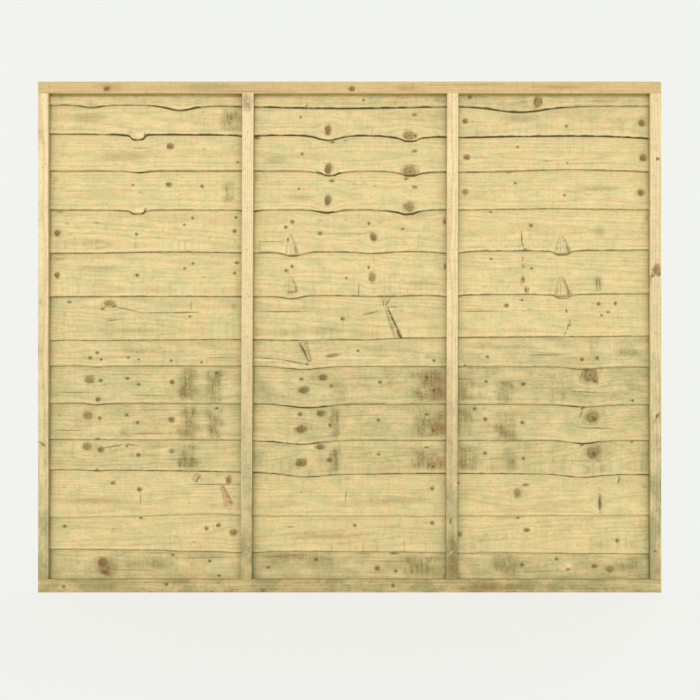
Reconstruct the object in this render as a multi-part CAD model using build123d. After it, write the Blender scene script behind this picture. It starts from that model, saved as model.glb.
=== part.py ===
from build123d import *
import os
from math import atan, cos, exp, sin
from typing import NamedTuple

# A lap fence panel of pressure treated softwood, in millimetres.
# It stands upright: X runs along the fence, the front faces -Y, Z is up, the ground is Z = 0.
# Thin boards with a wavy, bark-side lower edge run the full width, one above the other.
# The lower edge of each board hangs in front of the top edge of the next one down,
# so every board leans back a little and rain runs off.
# Battens in front and behind clamp the boards, and a nail goes through them at every lap.

# Overall frame
panel_width = 1830.0
panel_height = 1500.0
front_batten_thickness = 18.0
rear_batten_thickness = 18.0
top_rail_width = 34.0
bottom_rail_width = 38.0
left_stile_width = 30.0
right_stile_width = 32.0
front_mid_batten_width = 33.0
rear_batten_width = 35.0
batten_arris = 0.8        # the long edges of every batten are slightly broken

# The two front mid battens were nailed on a little out of plumb: centres at top and at foot
left_mid_centre_at_top = -298.5
left_mid_centre_at_foot = -304.0
right_mid_centre_at_top = 303.0
right_mid_centre_at_foot = 300.0

# Boards
board_thickness = 5.0
board_overlap = 22.0      # how far a board reaches up behind the one above it
board_end_inset = 2.0     # board ends stop this far inside the frame
lap_room = 3.5            # space between front and rear battens beyond two thicknesses
seat_clearance = 0.1      # between a board and the battens that clamp it
top_inset = 2.0           # the top board stops this far below the top of the frame
bottom_gap = 6.0          # the lowest board stays this far off the ground
wane_rise = 3.0           # height of the sloping bark-side face along a lower edge

# Nails: so many that each keeps few faces, a square shank under an eight-sided head
shank_half_width = 1.2
shank_sides = 4
head_radius = 2.8
head_sides = 8
head_thickness = 1.0
nail_length = 42.0
nail_clearance = 0.05
rail_nail_margin = 15.0   # from the panel's top or bottom edge to a rail nail

# Waves of the outline are sampled at even steps and at these shares of each swelling's half width
even_step = 75.0
swelling_shares = (-1.7, -1.1, -0.7, -0.35, 0.0, 0.35, 0.7, 1.1, 1.7)
closest_samples = 6.0

ROUND = 2                 # a swelling shaped like a hill
SQUARE = 6                # a swelling with a flat bottom and steep sides, where a knot was cut through


class Board(NamedTuple):
    """exposure: visible height in the middle of the panel, or its share where the height differs
    rise: how much higher its lower edge is at the right end than at the left
    nail_rise: how far above its lower edge the lap nails go in
    swellings: (place along the panel, drop, half width, shape) of each bulge of the lower edge"""
    exposure: float
    rise: float
    nail_rise: float
    swellings: list


# From the top board down
boards = [
    Board(66.0, -3.5, 14.0, [(-761, 7.5, 35, ROUND), (-501, 15, 53, ROUND), (-28, 9, 296, ROUND),
                             (504, 19, 103, ROUND)]),
    Board(89.0, -10, 11.0, [(-625, 13, 22, SQUARE), (-643, 3.5, 41, ROUND), (-300, 4, 35, ROUND),
                            (-64, 14, 44, ROUND), (173, 10, 53, ROUND), (179, 6, 25, SQUARE),
                            (341, 4, 89, ROUND), (681, -2.5, 148, ROUND), (903, 4.5, 74, ROUND)]),
    Board(104.0, -0.5, 10.0, [(-620, 5.5, 30, ROUND), (-58, 9.5, 47, ROUND), (-58, 4.5, 22, SQUARE),
                              (179, 10, 50, ROUND), (179, 4.5, 24, SQUARE), (341, 3.5, 118, ROUND),
                              (652, -4.5, 118, ROUND), (903, 3, 59, ROUND)]),
    Board(115.0, 1, 10.0, [(-640, 3.5, 47, ROUND), (-625, 8.5, 22, SQUARE), (-294, 5.5, 27, ROUND),
                           (-67, 9.5, 35, ROUND), (164, 11, 47, ROUND), (176, 3.5, 21, SQUARE),
                           (607, -3.5, 148, ROUND)]),
    Board(123.5, 10.5, 10.0, [(-546, -2.5, 118, ROUND), (-294, 2, 59, ROUND), (-167, 12.5, 35, ROUND),
                              (69, 5.5, 59, ROUND), (297, 7.5, 47, ROUND), (622, 4.5, 47, ROUND),
                              (629, 9, 24, SQUARE)]),
    Board(128.5, 9.5, 10.0, [(-294, 3, 118, ROUND), (-170, 9, 33, ROUND), (105, 4, 118, ROUND),
                             (297, 5.5, 41, ROUND), (622, 4.5, 47, ROUND), (631, 8, 22, SQUARE)]),
    Board(127.5, 15, 10.0, [(-826, -2, 35, ROUND), (-147, 4.5, 133, ROUND), (46, 4, 74, ROUND)]),
    Board(82.5, -3.5, 10.0, [(-747, 3.5, 24, ROUND), (-138, 9.5, 65, ROUND), (681, 6.5, 41, ROUND),
                             (740, 3, 35, ROUND)]),
    Board(111.0, -4.5, 13.0, [(-744, 4, 30, ROUND), (-123, 12, 77, ROUND), (690, 7.5, 65, ROUND)]),
    Board(107.0, -3, 10.0, [(-250, 3, 59, ROUND), (-138, 12.5, 71, ROUND), (690, 9.5, 47, ROUND)]),
    Board(94.5, -16, 9.0, [(-744, 3, 24, ROUND), (-58, 6, 296, ROUND), (-132, 9.5, 71, ROUND),
                           (687, 9.5, 65, ROUND)]),
    Board(129.5, 2.5, 8.0, [(-856, 3.5, 89, ROUND), (-442, -6.5, 118, ROUND), (202, 2, 24, ROUND)]),
    Board(105.0, -14.5, 8.0, [(-472, 3, 89, ROUND), (-309, 6, 74, ROUND), (326, 2, 89, ROUND)]),
    Board(109.0, 0, 10.0, []),
]

# What follows from the driving sizes
course_stretch = (panel_height - bottom_gap - top_inset) / sum(board.exposure for board in boards)
half_width = panel_width / 2
lap_depth = 2 * board_thickness + lap_room
panel_depth = front_batten_thickness + lap_depth + rear_batten_thickness
front_y = -panel_depth / 2
clamp_front_y = front_y + front_batten_thickness
clamp_rear_y = clamp_front_y + lap_depth
board_length = panel_width - 2 * board_end_inset

left_stile_centre = -half_width + left_stile_width / 2
right_stile_centre = half_width - right_stile_width / 2
left_rear_centre = -half_width + rear_batten_width / 2
right_rear_centre = half_width - rear_batten_width / 2


def mid_height(number):
    """Height of a board's lower edge at the middle of the panel, before its swellings."""
    return bottom_gap + course_stretch * sum(board.exposure for board in boards[number + 1:])


def straight_edge(number, x):
    """The lower edge without its swellings."""
    return mid_height(number) + boards[number].rise * x / panel_width


def drop_at(number, x):
    """How far the swellings carry the lower edge down at this place."""
    return sum(drop * exp(-abs((x - place) / half) ** shape)
               for place, drop, half, shape in boards[number].swellings)


def lower_edge(number, x):
    return straight_edge(number, x) - drop_at(number, x)


def upper_edge(number, x):
    """The straight sawn top edge, hidden behind the board above or the top rail."""
    if number == 0:
        return panel_height - top_inset
    return straight_edge(number - 1, x) + board_overlap


def samples_along(number):
    """Places where the wavy edge is measured: even steps, and closer over each swelling."""
    half = board_length / 2
    steps = int(board_length / even_step)
    wanted = [-half + board_length * step / steps for step in range(1, steps)]
    for place, drop, half_swelling, shape in boards[number].swellings:
        wanted += [place + share * half_swelling for share in swelling_shares]
    chosen = [-half]
    for x in sorted(wanted):
        if x - chosen[-1] >= closest_samples and half - x >= closest_samples:
            chosen.append(x)
    return chosen + [half]


def mid_centre(at_top, at_foot, z):
    """Centre line of a front mid batten that leans a little sideways."""
    foot = bottom_rail_width
    top = panel_height - top_rail_width
    return at_foot + (at_top - at_foot) * (z - foot) / (top - foot)


def upright_centres(z):
    """Where the four uprights are crossed at a height: the lines that the nails follow."""
    return [left_stile_centre,
            mid_centre(left_mid_centre_at_top, left_mid_centre_at_foot, z),
            mid_centre(right_mid_centre_at_top, right_mid_centre_at_foot, z),
            right_stile_centre]


def places_behind_uprights(z):
    """Places along a board that a front upright covers."""
    widths = [left_stile_width, front_mid_batten_width, front_mid_batten_width, right_stile_width]
    return [centre + share * width for centre, width in zip(upright_centres(z), widths)
            for share in (-0.5, -0.25, 0.0, 0.25, 0.5)]


def lap_nail_places():
    """One nail through each lap on each upright."""
    places = []
    for number in range(len(boards) - 1):
        for x in upright_centres(mid_height(number)):
            places.append((x, lower_edge(number, x) + boards[number].nail_rise))
    return places


def rail_nail_places():
    """One nail through each rail into each rear batten."""
    top = panel_height - rail_nail_margin
    return ([(x, rail_nail_margin) for x in upright_centres(bottom_rail_width)]
            + [(x, top) for x in upright_centres(panel_height - top_rail_width)])


def bar(place, sides, half_width, start_y, length):
    """A straight bar of a few equal sides that runs back from start_y."""
    x, z = place
    across_panel = Plane(origin=(x, start_y, z), x_dir=(1, 0, 0), z_dir=(0, 1, 0))
    return extrude(across_panel * RegularPolygon(half_width, sides, major_radius=False), length)


def nail(place):
    """Driven until its head is flush with the front."""
    head = bar(place, head_sides, head_radius, front_y, head_thickness)
    shank = bar(place, shank_sides, shank_half_width, front_y, nail_length)
    return head + shank


def nail_hole(place):
    seat = bar(place, head_sides, head_radius + nail_clearance, front_y, head_thickness)
    bore = bar(place, shank_sides, shank_half_width + nail_clearance, front_y,
               nail_length + nail_clearance)
    return seat + bore


nail_holes = [(place, nail_hole(place)) for place in lap_nail_places() + rail_nail_places()]


def nailed(piece):
    """Cut the holes of the nails that meet this piece."""
    box = piece.bounding_box()
    near = [hole for (x, z), hole in nail_holes
            if box.min.X - head_radius < x < box.max.X + head_radius
            and box.min.Z - head_radius < z < box.max.Z + head_radius]
    return piece - near if near else piece


def lap_board(number):
    """A thin board, wavy below and straight above, leaning back between the battens."""
    at_uprights = max(drop_at(number, x) for x in places_behind_uprights(mid_height(number)))
    touch = wane_rise - at_uprights
    half = board_length / 2

    def height_over_touch(height, x):
        return height - straight_edge(number, x) - touch

    tallest = max(height_over_touch(upper_edge(number, x), x) for x in (-half, half))
    lean = atan((lap_depth - board_thickness - 2 * seat_clearance) / tallest)
    slope = atan(boards[number].rise / panel_width)
    across = Vector(cos(slope), 0, sin(slope))
    up_the_face = Vector(-sin(slope) * cos(lean), sin(lean), cos(slope) * cos(lean))
    face_plane = Plane(origin=(0, clamp_front_y + seat_clearance, straight_edge(number, 0) + touch),
                       x_dir=across, z_dir=across.cross(up_the_face))

    def face(depth, raised):
        """The board's outline at a depth behind its front face."""
        sunk = depth * sin(lean)
        edge = [(x, (height_over_touch(lower_edge(number, x), x) + raised + sunk) / cos(lean))
                for x in samples_along(number)]
        left_top = (-half, height_over_touch(upper_edge(number, -half), -half) / cos(lean))
        right_top = (half, height_over_touch(upper_edge(number, half), half) / cos(lean))
        wavy = Spline(edge) if boards[number].swellings else Line(edge[0], edge[-1])
        rest = Polyline(edge[-1], right_top, left_top, edge[0])
        return face_plane.offset(-depth) * make_face(wavy + rest)

    board = loft([face(board_thickness, 0.0), face(0.0, wane_rise)], ruled=True)
    return nailed(board)


def sawn_batten(bar):
    """Break the four long edges, then cut the nail holes."""
    long_edges = bar.edges().sort_by(SortBy.LENGTH)[-4:]
    return nailed(chamfer(long_edges, batten_arris))


def straight_batten(low_x, high_x, low_z, high_z, start_y, thickness):
    centre = Pos((low_x + high_x) / 2, start_y + thickness / 2, (low_z + high_z) / 2)
    return sawn_batten(centre * Box(high_x - low_x, thickness, high_z - low_z))


def front_rail(low_z, width):
    return straight_batten(-half_width, half_width, low_z, low_z + width,
                           front_y, front_batten_thickness)


def front_stile(centre, width):
    return straight_batten(centre - width / 2, centre + width / 2, bottom_rail_width,
                           panel_height - top_rail_width, front_y, front_batten_thickness)


def front_mid_batten(at_top, at_foot):
    """A batten cut to fit between the rails, standing slightly out of plumb."""
    foot = bottom_rail_width
    top = panel_height - top_rail_width
    half = front_mid_batten_width / 2
    corners = [(at_foot - half, foot), (at_foot + half, foot), (at_top + half, top), (at_top - half, top)]
    outline = Plane.XZ.offset(-clamp_front_y) * make_face(Polyline(*corners, close=True))
    return sawn_batten(extrude(outline, front_batten_thickness))


def rear_batten(centre):
    return straight_batten(centre - rear_batten_width / 2, centre + rear_batten_width / 2,
                           0.0, panel_height, clamp_rear_y, rear_batten_thickness)


def build():
    """Every piece of the panel, by name."""
    left_mid = (left_mid_centre_at_top, left_mid_centre_at_foot)
    right_mid = (right_mid_centre_at_top, right_mid_centre_at_foot)
    pieces = {
        "top_rail": front_rail(panel_height - top_rail_width, top_rail_width),
        "bottom_rail": front_rail(0.0, bottom_rail_width),
        "left_stile": front_stile(left_stile_centre, left_stile_width),
        "right_stile": front_stile(right_stile_centre, right_stile_width),
        "left_mid_batten": front_mid_batten(*left_mid),
        "right_mid_batten": front_mid_batten(*right_mid),
        "rear_left_batten": rear_batten(left_rear_centre),
        "rear_left_mid_batten": rear_batten(sum(left_mid) / 2),
        "rear_right_mid_batten": rear_batten(sum(right_mid) / 2),
        "rear_right_batten": rear_batten(right_rear_centre),
        "lap_nails": Compound([nail(place) for place in lap_nail_places()]),
        "rail_nails": Compound([nail(place) for place in rail_nail_places()]),
    }
    for number in range(len(boards)):
        pieces[f"board_{number + 1:02d}"] = lap_board(number)
    return pieces


def main():
    os.makedirs("parts", exist_ok=True)
    pieces = build()
    for name, piece in pieces.items():
        export_step(piece, f"parts/{name}.step")
    print(f"{len(pieces)} pieces, {panel_width:.0f} x {panel_depth:.1f} x {panel_height:.0f} mm")


main()
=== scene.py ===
# %% [markdown]
# # A lap fence panel in sawn, pressure treated softwood
#
# The panel is made of fourteen thin boards with a wavy lower edge. Battens in front and behind
# clamp them, and nails go through every lap. A CAD model holds the true sizes and places. This
# lesson gives each piece a dense mesh in exactly the same place, because knots, worn edges and
# bending grain need more vertices than the plain solids have. One wood material draws the grain,
# and every knot is a short entry in a list.

# %% Load the measured frame
import math

import bmesh
import bpy
import numpy as np
from mathutils import Matrix, Vector, noise
from mathutils.bvhtree import BVHTree


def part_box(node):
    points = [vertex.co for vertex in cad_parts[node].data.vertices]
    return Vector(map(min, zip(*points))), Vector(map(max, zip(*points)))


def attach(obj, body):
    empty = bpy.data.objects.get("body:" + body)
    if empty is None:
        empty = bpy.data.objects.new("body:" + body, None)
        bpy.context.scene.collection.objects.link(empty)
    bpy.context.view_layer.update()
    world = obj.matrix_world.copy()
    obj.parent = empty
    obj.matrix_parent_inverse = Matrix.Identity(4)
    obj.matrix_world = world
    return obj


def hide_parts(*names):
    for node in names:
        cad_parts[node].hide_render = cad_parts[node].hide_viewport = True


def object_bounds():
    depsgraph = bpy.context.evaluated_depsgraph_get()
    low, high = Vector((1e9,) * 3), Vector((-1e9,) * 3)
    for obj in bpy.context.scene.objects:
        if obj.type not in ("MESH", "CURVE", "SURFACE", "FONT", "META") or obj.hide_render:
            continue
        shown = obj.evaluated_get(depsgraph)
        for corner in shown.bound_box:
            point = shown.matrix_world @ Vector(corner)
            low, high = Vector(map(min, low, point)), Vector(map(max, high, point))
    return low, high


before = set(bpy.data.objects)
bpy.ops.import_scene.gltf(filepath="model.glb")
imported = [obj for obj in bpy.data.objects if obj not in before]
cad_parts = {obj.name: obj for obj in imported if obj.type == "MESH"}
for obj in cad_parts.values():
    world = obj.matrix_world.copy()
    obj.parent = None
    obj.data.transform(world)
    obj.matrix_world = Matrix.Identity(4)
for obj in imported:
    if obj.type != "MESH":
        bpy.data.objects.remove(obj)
cad_low, cad_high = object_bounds()
MM = 0.001
print("panel", [round(float(high - low), 4) for low, high in zip(cad_low, cad_high)], "m")

# %% [markdown]
# ## Colours
#
# Colours are written as they look in daylight, from 0 to 255, and turned into the linear light
# values that a shader works with. Naming them once keeps the whole panel in one family: pale
# yellow sapwood, a green cast from the treatment, orange heartwood and brown knots. Weathering is
# a filter instead: the share of red, green and blue that fully weathered wood still sends back.
# The same filter darkens dirt and the painted shade beside the uprights.

# %% Named wood colours


def daylight(red, green, blue):
    """A colour as it looks on screen, turned into linear light."""
    linear = []
    for value in (red, green, blue):
        share = value / 255
        linear.append(share / 12.92 if share <= 0.04045 else ((share + 0.055) / 1.055) ** 2.4)
    return (*linear, 1.0)


SAPWOOD = daylight(242, 219, 160)
TREATED_GREEN = daylight(217, 210, 152)
HEART_ORANGE = daylight(244, 208, 150)
PALE_WOOD = daylight(250, 228, 180)
# A filter for weathering, also used for dirt and for the painted shade beside the uprights
WEATHERING_AND_SHADE = (0.51, 0.57, 0.52, 1.0)
BROWN_WOOD = daylight(208, 172, 112)
STAIN_DARK = daylight(138, 122, 74)
RUST = daylight(158, 112, 68)
MARK_GREEN = daylight(104, 104, 52)
MARK_BROWN = daylight(104, 78, 36)
MARK_RED = daylight(160, 102, 52)
MARK_HEART = daylight(180, 130, 70)
MARK_PALE = daylight(248, 228, 182)
BARK = daylight(100, 92, 46)
print("sapwood in linear light", [round(value, 3) for value in SAPWOOD[:3]])

# %% [markdown]
# ## Measuring a piece of the frame
#
# Each new mesh follows its CAD solid. Rays answer "where is the surface here?": a ray that runs
# up inside a board meets its wavy lower edge, one that runs down meets the sawn top edge, and
# one from the front meets its face. No size is typed in twice, so the looks follow the
# construction if that changes.

# %% Rays against a CAD node
RAY_START = 0.03


def tree_of(node):
    """A search tree over the triangles of a CAD node."""
    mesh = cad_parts[node].data
    corners = [vertex.co.copy() for vertex in mesh.vertices]
    return BVHTree.FromPolygons(corners, [tuple(face.vertices) for face in mesh.polygons])


def hit(tree, start, direction):
    """Where a ray first meets the solid."""
    place = tree.ray_cast(Vector(start), Vector(direction).normalized())[0]
    if place is None:
        raise RuntimeError(f"no surface found from {tuple(start)}")
    return place


front = hit(tree_of("board_07"), (0, cad_low[1] - RAY_START, 0.8), (0, 1, 0))
print("a ray from the front meets board 7 at", [round(value, 3) for value in front], "m")

# %% [markdown]
# ## The lean of a board
#
# A lap board leans back, because its foot hangs in front of the next board and its top is
# tucked behind the one above. Its face is one flat plane, so a few rays and a least squares fit
# give the plane: how far back the face lies at any place along the panel and at any height.

# %% Fit the plane of a board's face
PROBES_ALONG = (-0.7, -0.12, 0.5)
PROBES_UP = (0.42, 0.62)


def face_plane(tree, low, high):
    """The front face as y = a + b x + c z, and the thickness measured along y."""
    rows, depths, thick = [], [], []
    for along in PROBES_ALONG:
        x = along * (high[0] - low[0]) / 2
        for up in PROBES_UP:
            z = low[2] + (high[2] - low[2]) * up
            front = hit(tree, (x, low[1] - RAY_START, z), (0, 1, 0))
            back = hit(tree, (x, high[1] + RAY_START, z), (0, -1, 0))
            rows.append((1.0, x, z))
            depths.append(front.y)
            thick.append(back.y - front.y)
    plane = np.linalg.lstsq(np.array(rows), np.array(depths), rcond=None)[0]
    return plane, sum(thick) / len(thick)


plane, thickness = face_plane(tree_of("board_07"), *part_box("board_07"))
print("board 7 leans back", round(math.degrees(math.atan(plane[2])), 2), "degrees and is",
      round(thickness / MM, 2), "mm thick along y")

# %% [markdown]
# ## The outline of a board
#
# The lower edge kept the shape of the tree: under the bark it swells where a branch grew. Its
# face also slopes, higher in front than behind. Two rays in each column of the new mesh, one near
# the front face and one near the back, catch both.

# %% Measure the lower and upper edge at one place
NEAR_FRONT = 0.06
NEAR_BACK = 0.94
END_MARGIN = 0.4 * MM


def edge_heights(tree, plane, thickness, low, high, x):
    """Height of the lower edge at the front and at the back, and of the top edge, at x."""
    inside = min(max(x, low[0] + END_MARGIN), high[0] - END_MARGIN)
    lean = plane[2]

    def start(z, depth):
        return (inside, plane[0] + plane[1] * inside + lean * z + depth * thickness, z)

    lowest, highest = low[2] - RAY_START, high[2] + RAY_START
    front = hit(tree, start(lowest, NEAR_FRONT), (0, lean, 1)).z
    back = hit(tree, start(lowest, NEAR_BACK), (0, lean, 1)).z
    top = hit(tree, start(highest, 0.5), (0, -lean, -1)).z
    slope = (front - back) / (NEAR_BACK - NEAR_FRONT)
    return front + slope * NEAR_FRONT, back - slope * NEAR_FRONT, top


heights = edge_heights(tree_of("board_07"), plane, thickness, *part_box("board_07"), 0.1)
print("board 7 at x = 100 mm:", [round(value / MM, 1) for value in heights], "mm")

# %% [markdown]
# ## A slab of cells
#
# Boards and battens start as the same thing: a flat slab divided into cells like a chocolate bar.
# `create_grid` makes the front face, extruding it gives the back and the narrow sides, and cuts
# through the sides leave room for a rounded edge. The slab lives in a unit box, so each corner's
# place says how far along, how deep and how high it is, and a board only has to say where such
# a corner belongs.

# %% Make a unit slab
STAND_UP = Matrix.Rotation(math.radians(90), 4, "X")
SIDE_CUTS = 2


def unit_slab(columns, rows):
    """x and z run from 0 to 1 over the face, y from 0 in front to 1 behind."""
    slab = bmesh.new()
    bmesh.ops.create_grid(slab, x_segments=columns, y_segments=rows, size=0.5,
                          matrix=Matrix.Translation((0.5, 0, 0.5)) @ STAND_UP)
    walls = bmesh.ops.extrude_face_region(slab, geom=list(slab.faces), use_keep_orig=True)
    behind = [item for item in walls["geom"] if isinstance(item, bmesh.types.BMVert)]
    bmesh.ops.translate(slab, vec=(0, 1, 0), verts=behind)
    through = [edge for edge in slab.edges
               if abs(edge.verts[0].co.y - edge.verts[1].co.y) > 0.5]
    bmesh.ops.subdivide_edges(slab, edges=through, cuts=SIDE_CUTS)
    bmesh.ops.recalc_face_normals(slab, faces=slab.faces)
    return slab


trial = unit_slab(4, 2)
print("a 4 by 2 slab:", len(trial.verts), "corners,", len(trial.faces), "faces, closed:",
      all(edge.is_manifold for edge in trial.edges))
trial.free()

# %% [markdown]
# ## Rounding the corners
#
# Nothing on rough timber is knife sharp. A small bevel on every sharp edge catches the light
# the way a handled board does. The bevel is smaller than the CAD model's clearances.

# %% Bevel the sharp edges
SHARP = math.radians(40)
EDGE_SEGMENTS = 2


def soften(slab, width):
    """Round every sharp edge of a slab."""
    sharp = [edge for edge in slab.edges if edge.calc_face_angle(0) > SHARP]
    bmesh.ops.bevel(slab, geom=sharp, offset=width, offset_type="OFFSET", segments=EDGE_SEGMENTS,
                    profile=0.5, affect="EDGES", material=-1, clamp_overlap=True)


trial = unit_slab(4, 2)
soften(trial, 0.02)
print("the same slab with rounded edges:", len(trial.faces), "faces")
trial.free()

# %% [markdown]
# ## Knots, cracks and stains
#
# A knot is where a branch left the trunk. The trees for these boards grew their branches in
# whorls, which is why neighbouring boards, sawn from one log, repeat nearly the same knots. The
# list gives each mark's place on the panel in millimetres: along from the middle, height above the
# ground, half width, half height, and a clockwise turn in degrees where there is one. The places
# were read off a photograph of the panel, mark by mark.

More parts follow.
